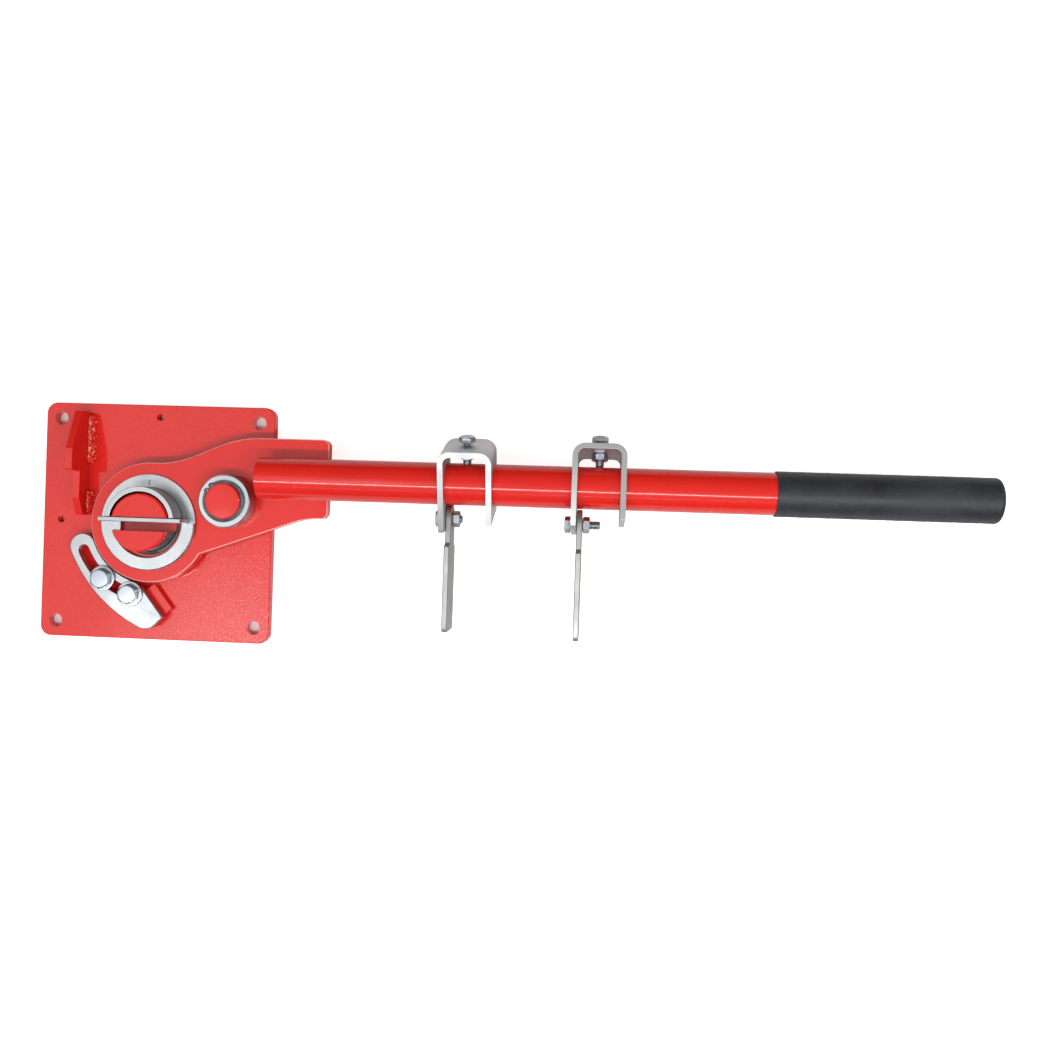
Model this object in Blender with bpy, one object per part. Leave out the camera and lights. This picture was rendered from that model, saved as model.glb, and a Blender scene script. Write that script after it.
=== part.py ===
"""Bench bar bender: a base plate with a slotted post, a swinging lever with a roller,
an adjustable angle stop, and two sliding gauge clamps on the lever's tube.

Metres, +Z up. The origin is on the post's axis at the underside of the base plate.
+X runs along the lever at rest.
"""

import math

import bmesh
import bpy
from mathutils import Matrix, Vector

MM = 0.001

# Fits
SEAT_GAP = 0.3 * MM
CUT_OVERRUN = 2 * MM
MERGE_DISTANCE = 0.002 * MM

# Facets of round shapes, for a full turn
LARGE_FACETS = 64
TUBE_FACETS = 40
SMALL_FACETS = 24
CORNER_STEPS = 6
CURVE_STEPS = 14
SMOOTH_LIMIT = math.radians(35)

# Base plate
BASE_SIDE = 225 * MM
BASE_THICKNESS = 10 * MM
BASE_CORNER_RADIUS = 10 * MM
BASE_EDGE_BREAK = 0.8 * MM
MOUNT_HOLE_RADIUS = 6.5 * MM
MOUNT_HOLE_INSET = 15 * MM
TAPPED_HOLE_RADIUS = 3.4 * MM
REAR_TAPPED_HOLE_Y = 100.5 * MM
SIDE_TAPPED_HOLE_X = -95 * MM

# Centre post
POST_RADIUS = 27 * MM
POST_TOP = 52 * MM
POST_CHAMFER = 1.5 * MM
POST_SLOT_WIDTH = 12.9 * MM
POST_SLOT_UPPER_Y = 4.9 * MM

# Thrust washer between the base plate and the lever's head
THRUST_WASHER_THICKNESS = 5.4 * MM
THRUST_WASHER_WIDTH = 18 * MM

# Back bracket, an upright plate that holds the bar's tail
BRACKET_FACE_X = -68 * MM
BRACKET_THICKNESS = 7 * MM
BRACKET_FRONT_Y = 5 * MM
BRACKET_REAR_Y = 104 * MM
BRACKET_FRONT_TOP = 22 * MM
BRACKET_REAR_TOP = 29 * MM
BRACKET_HOOK_TOP = 46 * MM
BRACKET_HOOK_REAR_Y = 67 * MM
NOTCH_FLOOR = 30 * MM
NOTCH_FRONT_Y = 21 * MM
NOTCH_WALL_Y = 47 * MM
BRACKET_CORNER_RADIUS = 1.5 * MM
WELD_LEG = 5.5 * MM
WELD_BULGE = 0.8 * MM
REAR_WELD_START_Y = 55 * MM
REAR_WELD_END_Y = 101 * MM
FRONT_WELD_START_Y = 7 * MM
FRONT_WELD_END_Y = 28 * MM

# Former: a keyed ring, a half sleeve and a cross plate that drops into the post's slot
FORMER_RING_RADIUS = 45.2 * MM
FORMER_RING_THICKNESS = 4.6 * MM
FORMER_TRACK_THICKNESS = 2 * MM
FORMER_RIM_CHAMFER = 1 * MM
FORMER_KEY_REACH = 25.5 * MM
SLEEVE_OUTER_RADIUS = 33.2 * MM
SLEEVE_WALL = 4.6 * MM
CROSS_PLATE_LENGTH = 78.2 * MM
CROSS_PLATE_THICKNESS = 4.2 * MM

# Lever head plate
HEAD_THICKNESS = 12 * MM
HEAD_BOSS_RADIUS = 56.5 * MM
HEAD_BOSS_TOP_ANGLE = 88
HEAD_END_X = 170 * MM
HEAD_UPPER_Y = 82.5 * MM
HEAD_SHOULDER_X = 104 * MM
HEAD_LOWER_Y = 8.5 * MM
HEAD_CORNER_RADIUS = 6 * MM
HEAD_CURVE_PULL_SHARE = 0.41
NECK_OFFSET = 43.2 * MM
NECK_ANGLE = 20
NECK_BLEND_RADIUS = 70 * MM
HEAD_EDGE_BREAK = 0.8 * MM
BUSH_WALL = 3 * MM

# Lever tube and grip
TUBE_RADIUS = 19 * MM
TUBE_WALL = 2.5 * MM
TUBE_OFFSET_Y = 44.5 * MM
TUBE_START_X = 111 * MM
TUBE_END_X = 767 * MM
GRIP_START_X = 577 * MM
GRIP_WALL = 1 * MM
GRIP_END_WALL = 4 * MM
GRIP_END_ROUNDING = 4.5 * MM
GRIP_LIP_ROUNDING = 0.5 * MM
TUBE_WELD_START_ANGLE = -72
TUBE_WELD_END_ANGLE = -42
TUBE_WELD_THROAT = 2.4 * MM
TUBE_WELD_INSET = 3 * MM

# Roller, its pin and its snap ring
ROLLER_X = 78 * MM
ROLLER_Y = 22.2 * MM
ROLLER_RADIUS = 24.5 * MM
ROLLER_HEIGHT = 19 * MM
ROLLER_CHAMFER = 1 * MM
PIN_RADIUS = 16.4 * MM
PIN_CHAMFER = 1 * MM
PIN_STAND = 2.6 * MM
PIN_GROOVE_DEPTH = 1 * MM
SNAP_RING_WIDTH = 3.8 * MM
SNAP_RING_THICKNESS = 1.6 * MM
SNAP_RING_GAP_ANGLE = 140
SNAP_RING_GAP_SPAN = 20
SNAP_RING_LUG_RADIUS = 2.7 * MM
SNAP_RING_LUG_HOLE_RADIUS = 1.1 * MM

# Angle stop: a slotted plate that turns about the post's axis under two bolts
STOP_THICKNESS = 8 * MM
STOP_LEVER_GAP = 0.6 * MM
STOP_FACE_ANGLE = -52.4
STOP_BOSS_GAP = 1.7 * MM
STOP_HALF_WIDTH = 12.3 * MM
STOP_END_ANGLE = 200.5
STOP_BACK_RADIUS = 138.6 * MM
STOP_BACK_START_ANGLE = 203.5
STOP_BACK_END_ANGLE = 244
STOP_INNER_END_ANGLE = 250
STOP_FACE_START = 45.5 * MM
STOP_FACE_END = 79.3 * MM
STOP_TIP_ANGLE = 226
STOP_TIP_RADIUS = 1.5 * MM
STOP_TAIL_RADIUS = 13 * MM
STOP_EDGE_BREAK = 0.6 * MM
STOP_SLOT_HALF_WIDTH = 5.4 * MM
STOP_SLOT_START_ANGLE = 203.8
STOP_SLOT_END_ANGLE = 258
STOP_BOLT_ANGLES = (230.5, 255.5)
STOP_BOSS_RADIUS = 12 * MM
STOP_BLOCK_WIDTH = 30 * MM
STOP_BLOCK_REACH = 10 * MM
STOP_BLOCK_BURIED = 25 * MM
STOP_BLOCK_SLIDE = 47 * MM

# Stop bolts and washers
STOP_BOLT_RADIUS = 5 * MM
STOP_BOLT_FLATS = 17 * MM
STOP_BOLT_HEAD = 6.4 * MM
STOP_WASHER_RADIUS = 12 * MM
STOP_WASHER_THICKNESS = 2.5 * MM

# Gauge clamps: a U strap round the tube, a set bolt with a lock nut, and a finger
STRAP_OUTER_WIDTH = 48 * MM
STRAP_THICKNESS = 5 * MM
STRAP_HEIGHT = 50 * MM
STRAP_CROWN_Y = 36.5 * MM
STRAP_BEND_RADIUS = 6 * MM
STRAP_SHORT_LEG = 31 * MM
STRAP_LONG_LEG = 40 * MM
STRAP_END_RADIUS = 6 * MM
FINGER_PIVOT_DROP = 33.5 * MM
FINGER_THICKNESS = 5 * MM
FINGER_WIDTH = 40 * MM
FINGER_LENGTH = 102.5 * MM
FINGER_ROOT_RADIUS = 13.5 * MM
FINGER_SHOULDER_NEAR = 22 * MM
FINGER_SHOULDER_FAR = 24.5 * MM
FINGER_TIP_RADIUS = 5 * MM
SMALL_BOLT_RADIUS = 4 * MM
SMALL_BOLT_FLATS = 13 * MM
SMALL_BOLT_HEAD = 5.3 * MM
SMALL_NUT_HEIGHT = 6.5 * MM
BOLT_CHAMFER_ANGLE = 30
CHAMFER_FACE_SHARE = 0.94
SHANK_CHAMFER = 0.8 * MM

# The two clamps: place along the tube, turn about the tube, pivot bolt's end past its nut,
# and how far the set bolt's head stands off the strap
INNER_CLAMP_X = 303 * MM
OUTER_CLAMP_X = 421.5 * MM
INNER_CLAMP_TILT = 19
OUTER_CLAMP_TILT = -8
INNER_BOLT_END = 2 * MM
OUTER_BOLT_END = 9 * MM
INNER_SET_STAND = 3.2 * MM
OUTER_SET_STAND = 5.5 * MM

# Levels and places that follow from the sizes above
HEAD_UNDERSIDE = BASE_THICKNESS + SEAT_GAP + THRUST_WASHER_THICKNESS + SEAT_GAP
HEAD_TOP = HEAD_UNDERSIDE + HEAD_THICKNESS
TUBE_AXIS_Z = HEAD_TOP + SEAT_GAP + TUBE_RADIUS
FORMER_BOTTOM = HEAD_TOP + SEAT_GAP
FORMER_TRACK_Z = FORMER_BOTTOM + FORMER_TRACK_THICKNESS
FORMER_BORE_RADIUS = SLEEVE_OUTER_RADIUS + SEAT_GAP
POST_SLOT_LOWER_Y = POST_SLOT_UPPER_Y - POST_SLOT_WIDTH
CROSS_PLATE_UPPER_Y = POST_SLOT_UPPER_Y - SEAT_GAP
CROSS_PLATE_LOWER_Y = CROSS_PLATE_UPPER_Y - CROSS_PLATE_THICKNESS
ROLLER_BOTTOM = HEAD_TOP + SEAT_GAP
ROLLER_TOP = ROLLER_BOTTOM + ROLLER_HEIGHT
SNAP_RING_BOTTOM = ROLLER_TOP + SEAT_GAP
STOP_INNER_RADIUS = HEAD_BOSS_RADIUS + STOP_BOSS_GAP
STOP_SLOT_RADIUS = STOP_INNER_RADIUS + STOP_HALF_WIDTH
STOP_TOP = HEAD_UNDERSIDE + STOP_THICKNESS
GRIP_RADIUS = TUBE_RADIUS + SEAT_GAP + GRIP_WALL


def clear_scene():
    """Removes every object of the open scene."""
    for item in list(bpy.data.objects):
        bpy.data.objects.remove(item, do_unlink=True)


def make_material(name, colour, roughness, metallic):
    """A Principled BSDF with one colour."""
    made = bpy.data.materials.new(name)
    made.use_nodes = True
    shader = made.node_tree.nodes["Principled BSDF"]
    shader.inputs["Base Color"].default_value = (*colour, 1)
    shader.inputs["Roughness"].default_value = roughness
    shader.inputs["Metallic"].default_value = metallic
    return made


def polar(radius, degrees, centre=(0, 0)):
    """The point at a radius and an angle round a centre."""
    turn = math.radians(degrees)
    return Vector((centre[0] + radius * math.cos(turn), centre[1] + radius * math.sin(turn)))


def arc(centre, radius, start, end, steps):
    """Points along an arc from one angle to another, both ends included."""
    return [polar(radius, start + (end - start) * n / steps, centre) for n in range(steps + 1)]


def crossing(first, first_angle, second, second_angle):
    """The point where two lines meet, each given by a point and a direction."""
    along = polar(1, first_angle)
    other = polar(1, second_angle)
    offset = second - first
    spread = along.x * other.y - along.y * other.x
    return first + along * ((offset.x * other.y - offset.y * other.x) / spread)


def bezier(first, second, third, fourth, steps):
    """Points along a cubic curve, both ends included."""
    points = []
    for n in range(steps + 1):
        t = n / steps
        u = 1 - t
        weights = (u * u * u, 3 * u * u * t, 3 * u * t * t, t * t * t)
        controls = (first, second, third, fourth)
        points.append(sum((w * c for w, c in zip(weights, controls)), Vector((0, 0))))
    return points


def rounded(corners, steps=CORNER_STEPS):
    """An outline from (x, y, radius) corners, each rounded by an arc that touches both its sides."""
    outline = []
    for n, (x, y, radius) in enumerate(corners):
        corner = Vector((x, y))
        if not radius:
            outline.append(corner)
            continue
        before = (Vector(corners[n - 1][:2]) - corner).normalized()
        after = (Vector(corners[(n + 1) % len(corners)][:2]) - corner).normalized()
        half = before.angle(after) / 2
        centre = corner + (before + after).normalized() * radius / math.sin(half)
        start = corner + before * radius / math.tan(half) - centre
        end = corner + after * radius / math.tan(half) - centre
        sweep = start.angle_signed(end)
        for k in range(steps + 1):
            spoke = start.copy()
            spoke.rotate(Matrix.Rotation(-sweep * k / steps, 2))
            outline.append(centre + spoke)
    return outline


def prism(outline, low, high):
    """A closed solid over an outline in the XY plane, between two heights."""
    shape = bmesh.new()
    ring = [shape.verts.new((point[0], point[1], low)) for point in outline]
    face = shape.faces.new(ring)
    raised = bmesh.ops.extrude_face_region(shape, geom=[face])["geom"]
    moved = [item for item in raised if isinstance(item, bmesh.types.BMVert)]
    bmesh.ops.translate(shape, verts=moved, vec=(0, 0, high - low))
    shape.normal_update()
    bmesh.ops.recalc_face_normals(shape, faces=shape.faces)
    return shape


def turned(profile, facets):
    """A closed solid turned about Z from a closed profile of (radius, height) points."""
    shape = bmesh.new()
    ring = [shape.verts.new((radius, 0, height)) for radius, height in profile]
    edges = [shape.edges.new((ring[n - 1], ring[n])) for n in range(len(ring))]
    bmesh.ops.spin(
        shape, geom=ring + edges, cent=(0, 0, 0), axis=(0, 0, 1), dvec=(0, 0, 0),
        angle=math.tau, steps=facets, use_merge=True, use_duplicate=False,
    )
    bmesh.ops.remove_doubles(shape, verts=shape.verts, dist=MERGE_DISTANCE)
    shape.normal_update()
    bmesh.ops.recalc_face_normals(shape, faces=shape.faces)
    return shape


def cylinder(radius, low, high, facets):
    """A plain round bar about Z."""
    return turned([(0, low), (radius, low), (radius, high), (0, high)], facets)


def box(low, high):
    """A block between two corners."""
    outline = [(low[0], low[1]), (high[0], low[1]), (high[0], high[1]), (low[0], high[1])]
    return prism(outline, low[2], high[2])


def laid(shape, axis, place=(0, 0, 0)):
    """Turns a shape so that its Z points along an axis, and moves it to a place."""
    turn = Vector((0, 0, 1)).rotation_difference(Vector(axis)).to_matrix().to_4x4()
    shape.transform(Matrix.Translation(place) @ turn)
    return shape


def sideways(shape, start):
    """Turns a shape drawn in XY so that its outline lies in YZ and its height runs along X."""
    shape.transform(Matrix(((0, 0, 1, start), (1, 0, 0, 0), (0, 1, 0, 0), (0, 0, 0, 1))))
    return shape


def add(name, shape, finish, parent=None, place=(0, 0, 0)):
    """Puts a shape in the scene as a named object under a parent."""
    mesh = bpy.data.meshes.new(name)
    shape.to_mesh(mesh)
    shape.free()
    mesh.shade_smooth()
    mesh.set_sharp_from_angle(angle=SMOOTH_LIMIT)
    if finish:
        mesh.materials.append(finish)
    made = bpy.data.objects.new(name, mesh)
    bpy.context.scene.collection.objects.link(made)
    made.parent = parent
    made.location = place
    return made


def add_frame(name, parent=None, place=(0, 0, 0), turn=(0, 0, 0)):
    """An empty that carries the pieces of one moving body."""
    made = bpy.data.objects.new(name, None)
    bpy.context.scene.collection.objects.link(made)
    made.parent = parent
    made.location = place
    made.rotation_euler = turn
    return made


def shape_by(target, name, shape, operation):
    """Joins, cuts or trims a piece by a hidden shape in the piece's own frame."""
    tool = add(name, shape, None, parent=target)
    tool.hide_render = True
    tool.display_type = "WIRE"
    step = target.modifiers.new(name, "BOOLEAN")
    step.operation = operation
    step.solver = "EXACT"
    step.object = tool


def break_edges(target, width):
    """A small flat chamfer along a piece's sharp edges."""
    step = target.modifiers.new("edge_break", "BEVEL")
    step.width = width
    step.segments = 1
    step.limit_method = "ANGLE"
    step.angle_limit = math.radians(60)


def hexagon(flats):
    """The outline of a hexagon from its width across flats."""
    return [polar(flats / math.sqrt(3), 60 * n) for n in range(6)]


def chamfer_body(flats, height, both_ends):
    """A coned body that trims the corners of a hexagon and runs past its ends."""
    slope = math.tan(math.radians(BOLT_CHAMFER_ANGLE))
    outer = flats / math.sqrt(3) + SHANK_CHAMFER
    drop = (outer - flats / 2 * CHAMFER_FACE_SHARE) * slope
    point = outer - (drop + SHANK_CHAMFER) / slope
    profile = [(0, height + SHANK_CHAMFER), (point, height + SHANK_CHAMFER), (outer, height - drop)]
    if both_ends:
        profile += [(outer, drop), (point, -SHANK_CHAMFER), (0, -SHANK_CHAMFER)]
    else:
        profile += [(outer, -CUT_OVERRUN), (0, -CUT_OVERRUN)]
    return turned(profile[::-1], SMALL_FACETS)


def add_bolt(name, finish, parent, place, axis, sizes, length):
    """A hex bolt whose head stands on a place along an axis, its shank running the other way."""
    flats, head, radius = sizes
    bolt = add(name, laid(prism(hexagon(flats), 0, head), axis), finish, parent, place)
    shape_by(bolt, name + "_chamfer", laid(chamfer_body(flats, head, False), axis), "INTERSECT")
    profile = [(0, head / 2), (0, -length), (radius - SHANK_CHAMFER, -length)]
    profile += [(radius, SHANK_CHAMFER - length), (radius, head / 2)]
    shape_by(bolt, name + "_shank", laid(turned(profile, SMALL_FACETS), axis), "UNION")
    return bolt


def add_nut(name, finish, parent, place, axis, flats, height, bore):
    """A hex nut standing on a place along an axis."""
    nut = add(name, laid(prism(hexagon(flats), 0, height), axis), finish, parent, place)
    shape_by(nut, name + "_chamfer", laid(chamfer_body(flats, height, True), axis), "INTERSECT")
    hole = cylinder(bore, -CUT_OVERRUN, height + CUT_OVERRUN, SMALL_FACETS)
    shape_by(nut, name + "_bore", laid(hole, axis), "DIFFERENCE")
    return nut


def build_base_plate(paint):
    """The square plate with four mounting holes and two tapped holes."""
    half = BASE_SIDE / 2
    corners = [(x * half, y * half, BASE_CORNER_RADIUS) for x, y in ((-1, -1), (1, -1), (1, 1), (-1, 1))]
    plate = add("base_plate", prism(rounded(corners), 0, BASE_THICKNESS), paint)
    break_edges(plate, BASE_EDGE_BREAK)
    reach = half - MOUNT_HOLE_INSET
    holes = [(x * reach, y * reach, MOUNT_HOLE_RADIUS) for x, y in ((-1, -1), (1, -1), (1, 1), (-1, 1))]
    holes.append((0, REAR_TAPPED_HOLE_Y, TAPPED_HOLE_RADIUS))
    holes.append((SIDE_TAPPED_HOLE_X, 0, TAPPED_HOLE_RADIUS))
    for n, (x, y, radius) in enumerate(holes):
        drill = cylinder(radius, -CUT_OVERRUN, BASE_THICKNESS + CUT_OVERRUN, SMALL_FACETS)
        shape_by(plate, f"base_hole_{n + 1}", laid(drill, (0, 0, 1), (x, y, 0)), "DIFFERENCE")


def build_post(paint, bronze):
    """The slotted post and the thrust washer round its foot."""
    foot = BASE_THICKNESS + SEAT_GAP
    profile = [(0, foot), (POST_RADIUS, foot), (POST_RADIUS, POST_TOP - POST_CHAMFER)]
    profile += [(POST_RADIUS - POST_CHAMFER, POST_TOP), (0, POST_TOP)]
    post = add("center_post", turned(profile, LARGE_FACETS), paint)
    reach = POST_RADIUS + CUT_OVERRUN
    slot = box(
        (-reach, POST_SLOT_LOWER_Y, FORMER_BOTTOM - SEAT_GAP),
        (reach, POST_SLOT_UPPER_Y, POST_TOP + CUT_OVERRUN),
    )
    shape_by(post, "post_slot", slot, "DIFFERENCE")
    inner = POST_RADIUS + SEAT_GAP
    outer = inner + THRUST_WASHER_WIDTH
    top = foot + THRUST_WASHER_THICKNESS
    section = [(inner, foot), (outer, foot), (outer, top), (inner, top)]
    add("thrust_washer", turned(section, LARGE_FACETS), bronze)


def fillet_weld(side_x, facing, start_y, end_y):
    """A fillet bead in the corner between the base plate and the bracket's face."""
    root_x = side_x + facing * SEAT_GAP
    root_z = BASE_THICKNESS + SEAT_GAP
    middle = WELD_LEG / 2 + WELD_BULGE
    section = [
        (root_x, root_z),
        (root_x + facing * WELD_LEG, root_z),
        (root_x + facing * middle, root_z + middle),
        (root_x, root_z + WELD_LEG),
    ]
    bead = prism(section, -end_y, -start_y)
    bead.transform(Matrix(((1, 0, 0, 0), (0, 0, -1, 0), (0, 1, 0, 0), (0, 0, 0, 1))))
    return bead


def build_bracket(paint):
    """The upright plate with its hook and bar notch, and the beads at its foot."""
    foot = BASE_THICKNESS + SEAT_GAP
    soft = BRACKET_CORNER_RADIUS
    corners = [
        (BRACKET_FRONT_Y, foot, 0),
        (BRACKET_REAR_Y, foot, 0),
        (BRACKET_REAR_Y, BRACKET_REAR_TOP, soft),
        (BRACKET_HOOK_REAR_Y, BRACKET_HOOK_TOP, soft),
        (NOTCH_WALL_Y, BRACKET_HOOK_TOP, soft),
        (NOTCH_WALL_Y, NOTCH_FLOOR, soft),
        (NOTCH_FRONT_Y, NOTCH_FLOOR, soft),
        (BRACKET_FRONT_Y, BRACKET_FRONT_TOP, soft),
    ]
    back_x = BRACKET_FACE_X - BRACKET_THICKNESS
    plate = sideways(prism(rounded(corners, CORNER_STEPS // 2), 0, BRACKET_THICKNESS), back_x)
    bracket = add("back_bracket", plate, paint)
    break_edges(bracket, BASE_EDGE_BREAK / 2)
    for side, side_x, facing in (("inner", BRACKET_FACE_X, 1), ("outer", back_x, -1)):
        rear = fillet_weld(side_x, facing, REAR_WELD_START_Y, REAR_WELD_END_Y)
        add(f"bracket_weld_{side}_rear", rear, paint)
        front = fillet_weld(side_x, facing, FRONT_WELD_START_Y, FRONT_WELD_END_Y)
        add(f"bracket_weld_{side}_front", front, paint)


def build_former(zinc):
    """The removable former: keyed ring, half sleeve and cross plate."""
    low = FORMER_BOTTOM
    high = low + FORMER_RING_THICKNESS
    rim = FORMER_RING_RADIUS
    profile = [(FORMER_BORE_RADIUS, low), (rim, low), (rim, high - FORMER_RIM_CHAMFER)]
    profile += [(rim - FORMER_RIM_CHAMFER, high), (FORMER_BORE_RADIUS, high)]
    ring = add("former_ring", turned(profile, LARGE_FACETS), zinc)
    track_y = CROSS_PLATE_LOWER_Y - SEAT_GAP
    reach = rim + CUT_OVERRUN
    track = box((-reach, track_y, FORMER_TRACK_Z), (reach, reach, high + CUT_OVERRUN))
    shape_by(ring, "former_track", track, "DIFFERENCE")
    key_low_y = POST_SLOT_LOWER_Y + SEAT_GAP
    key = box((-FORMER_BORE_RADIUS - CUT_OVERRUN, key_low_y, low), (-FORMER_KEY_REACH, track_y, high))
    shape_by(ring, "former_key", key, "UNION")

    inner = SLEEVE_OUTER_RADIUS - SLEEVE_WALL
    cut_y = CROSS_PLATE_UPPER_Y + SEAT_GAP
    outer_lean = math.degrees(math.asin(cut_y / SLEEVE_OUTER_RADIUS))
    inner_lean = math.degrees(math.asin(cut_y / inner))
    half_turn = LARGE_FACETS // 2
    outline = arc((0, 0), SLEEVE_OUTER_RADIUS, outer_lean, 180 - outer_lean, half_turn)
    outline += arc((0, 0), inner, 180 - inner_lean, inner_lean, half_turn)
    add("former_half_sleeve", prism(outline, low, POST_TOP), zinc)

    half = CROSS_PLATE_LENGTH / 2
    blade = box(
        (-half, CROSS_PLATE_LOWER_Y, FORMER_TRACK_Z + SEAT_GAP),
        (half, CROSS_PLATE_UPPER_Y, POST_TOP),
    )
    plate = add("former_cross_plate", blade, zinc)
    break_edges(plate, FORMER_RIM_CHAMFER / 2)


def neck_point(along):
    """A point on the line of the head's lower neck edge, measured from the foot of its offset."""
    foot = polar(NECK_OFFSET, NECK_ANGLE - 90)
    return foot + polar(along, NECK_ANGLE)


def head_outline():
    """The lever head seen from above: boss, straight neck, square end and swept shoulder."""
    meet = math.sqrt(HEAD_BOSS_RADIUS ** 2 - NECK_OFFSET ** 2)
    start = neck_point(meet)
    bend_x = start.x + (HEAD_LOWER_Y - start.y) / math.tan(math.radians(NECK_ANGLE))
    lower = rounded([
        (start.x, start.y, 0),
        (bend_x, HEAD_LOWER_Y, NECK_BLEND_RADIUS),
        (HEAD_END_X, HEAD_LOWER_Y, HEAD_CORNER_RADIUS),
        (HEAD_END_X, HEAD_UPPER_Y, HEAD_CORNER_RADIUS),
        (HEAD_SHOULDER_X, HEAD_UPPER_Y, 0),
    ])
    shoulder = Vector((HEAD_SHOULDER_X, HEAD_UPPER_Y))
    landing = polar(HEAD_BOSS_RADIUS, HEAD_BOSS_TOP_ANGLE)
    pull = (shoulder.x - landing.x) * HEAD_CURVE_PULL_SHARE
    leave = shoulder - Vector((pull, 0))
    arrive = landing - polar(pull, HEAD_BOSS_TOP_ANGLE + 90)
    sweep = bezier(shoulder, leave, arrive, landing, CURVE_STEPS)
    end_angle = 360 + math.degrees(math.atan2(start.y, start.x))
    boss = arc((0, 0), HEAD_BOSS_RADIUS, HEAD_BOSS_TOP_ANGLE, end_angle, LARGE_FACETS * 3 // 4)
    return lower[:-1] + sweep[:-1] + boss[:-1]


def tube_weld(side):
    """A bead in the corner between the tube and the head plate, on one side of the tube."""
    radius = TUBE_RADIUS + SEAT_GAP
    against = arc((0, TUBE_AXIS_Z), radius, TUBE_WELD_START_ANGLE, TUBE_WELD_END_ANGLE, CORNER_STEPS)
    top = against[-1]
    floor = HEAD_TOP + SEAT_GAP
    face = Vector((top.x + TUBE_WELD_THROAT, (top.y + floor) / 2))
    outline = [Vector((against[0].x, floor)), Vector((face.x, floor)), face] + against[::-1]
    outline = [Vector((TUBE_OFFSET_Y + side * point.x, point.y)) for point in outline]
    length = HEAD_END_X - TUBE_START_X - 2 * TUBE_WELD_INSET
    return sideways(prism(outline, 0, length), TUBE_START_X + TUBE_WELD_INSET)


def build_lever(paint, zinc, bronze, rubber, dark):
    """The lever: head plate, bush, tube, welds, grip, roller pin and snap ring, under one frame."""
    lever = add_frame("lever_frame")
    head = add("head_plate", prism(head_outline(), HEAD_UNDERSIDE, HEAD_TOP), paint, lever)
    break_edges(head, HEAD_EDGE_BREAK)
    bush_inner = POST_RADIUS + SEAT_GAP
    bush_outer = bush_inner + BUSH_WALL
    low = HEAD_UNDERSIDE - CUT_OVERRUN
    high = HEAD_TOP + CUT_OVERRUN
    head_bore = cylinder(bush_outer + SEAT_GAP, low, high, LARGE_FACETS)
    shape_by(head, "head_bore", head_bore, "DIFFERENCE")
    place = (ROLLER_X, ROLLER_Y, 0)
    pin_hole = cylinder(PIN_RADIUS + SEAT_GAP, low, high, TUBE_FACETS)
    shape_by(head, "pin_hole", laid(pin_hole, (0, 0, 1), place), "DIFFERENCE")
    section = [(bush_inner, HEAD_UNDERSIDE), (bush_outer, HEAD_UNDERSIDE)]
    section += [(bush_outer, HEAD_TOP), (bush_inner, HEAD_TOP)]
    add("pivot_bush", turned(section, LARGE_FACETS), bronze, lever)

    tube_inner = TUBE_RADIUS - TUBE_WALL
    length = TUBE_END_X - TUBE_START_X
    section = [(tube_inner, 0), (TUBE_RADIUS, 0), (TUBE_RADIUS, length), (tube_inner, length)]
    tube_place = (TUBE_START_X, TUBE_OFFSET_Y, TUBE_AXIS_Z)
    add("handle_tube", laid(turned(section, TUBE_FACETS), (1, 0, 0)), paint, lever, tube_place)
    add("tube_weld_upper", tube_weld(1), paint, lever)
    add("tube_weld_lower", tube_weld(-1), paint, lever)

    sleeve = TUBE_RADIUS + SEAT_GAP
    cap_inner = TUBE_END_X - GRIP_START_X + SEAT_GAP
    cap_outer = cap_inner + GRIP_END_WALL
    end_centre = (GRIP_RADIUS - GRIP_END_ROUNDING, cap_outer - GRIP_END_ROUNDING)
    end = arc(end_centre, GRIP_END_ROUNDING, 0, 75, CORNER_STEPS)
    profile = [(0, cap_inner), (sleeve, cap_inner), (sleeve, 0), (GRIP_RADIUS - GRIP_LIP_ROUNDING, 0)]
    profile += [(GRIP_RADIUS, GRIP_LIP_ROUNDING)] + [tuple(point) for point in end] + [(0, cap_outer)]
    grip_place = (GRIP_START_X, TUBE_OFFSET_Y, TUBE_AXIS_Z)
    add("grip", laid(turned(profile, TUBE_FACETS), (1, 0, 0)), rubber, lever, grip_place)

    top = SNAP_RING_BOTTOM + SNAP_RING_THICKNESS + PIN_STAND
    groove_low = SNAP_RING_BOTTOM - SEAT_GAP
    groove_high = SNAP_RING_BOTTOM + SNAP_RING_THICKNESS + SEAT_GAP
    waist = PIN_RADIUS - PIN_GROOVE_DEPTH
    profile = [(0, HEAD_UNDERSIDE), (PIN_RADIUS, HEAD_UNDERSIDE)]
    profile += [(PIN_RADIUS, groove_low), (waist, groove_low)]
    profile += [(waist, groove_high), (PIN_RADIUS, groove_high)]
    profile += [(PIN_RADIUS, top - PIN_CHAMFER), (PIN_RADIUS - PIN_CHAMFER, top), (0, top)]
    add("roller_pin", turned(profile, TUBE_FACETS), paint, lever, place)
    add_snap_ring(dark, lever, place)

    inner = PIN_RADIUS + SEAT_GAP
    edge = ROLLER_RADIUS - ROLLER_CHAMFER
    profile = [(inner, ROLLER_BOTTOM), (edge, ROLLER_BOTTOM)]
    profile += [(ROLLER_RADIUS, ROLLER_BOTTOM + ROLLER_CHAMFER)]
    profile += [(ROLLER_RADIUS, ROLLER_TOP - ROLLER_CHAMFER), (edge, ROLLER_TOP), (inner, ROLLER_TOP)]
    add("roller", turned(profile, LARGE_FACETS), zinc, lever, place)
    return lever


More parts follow.
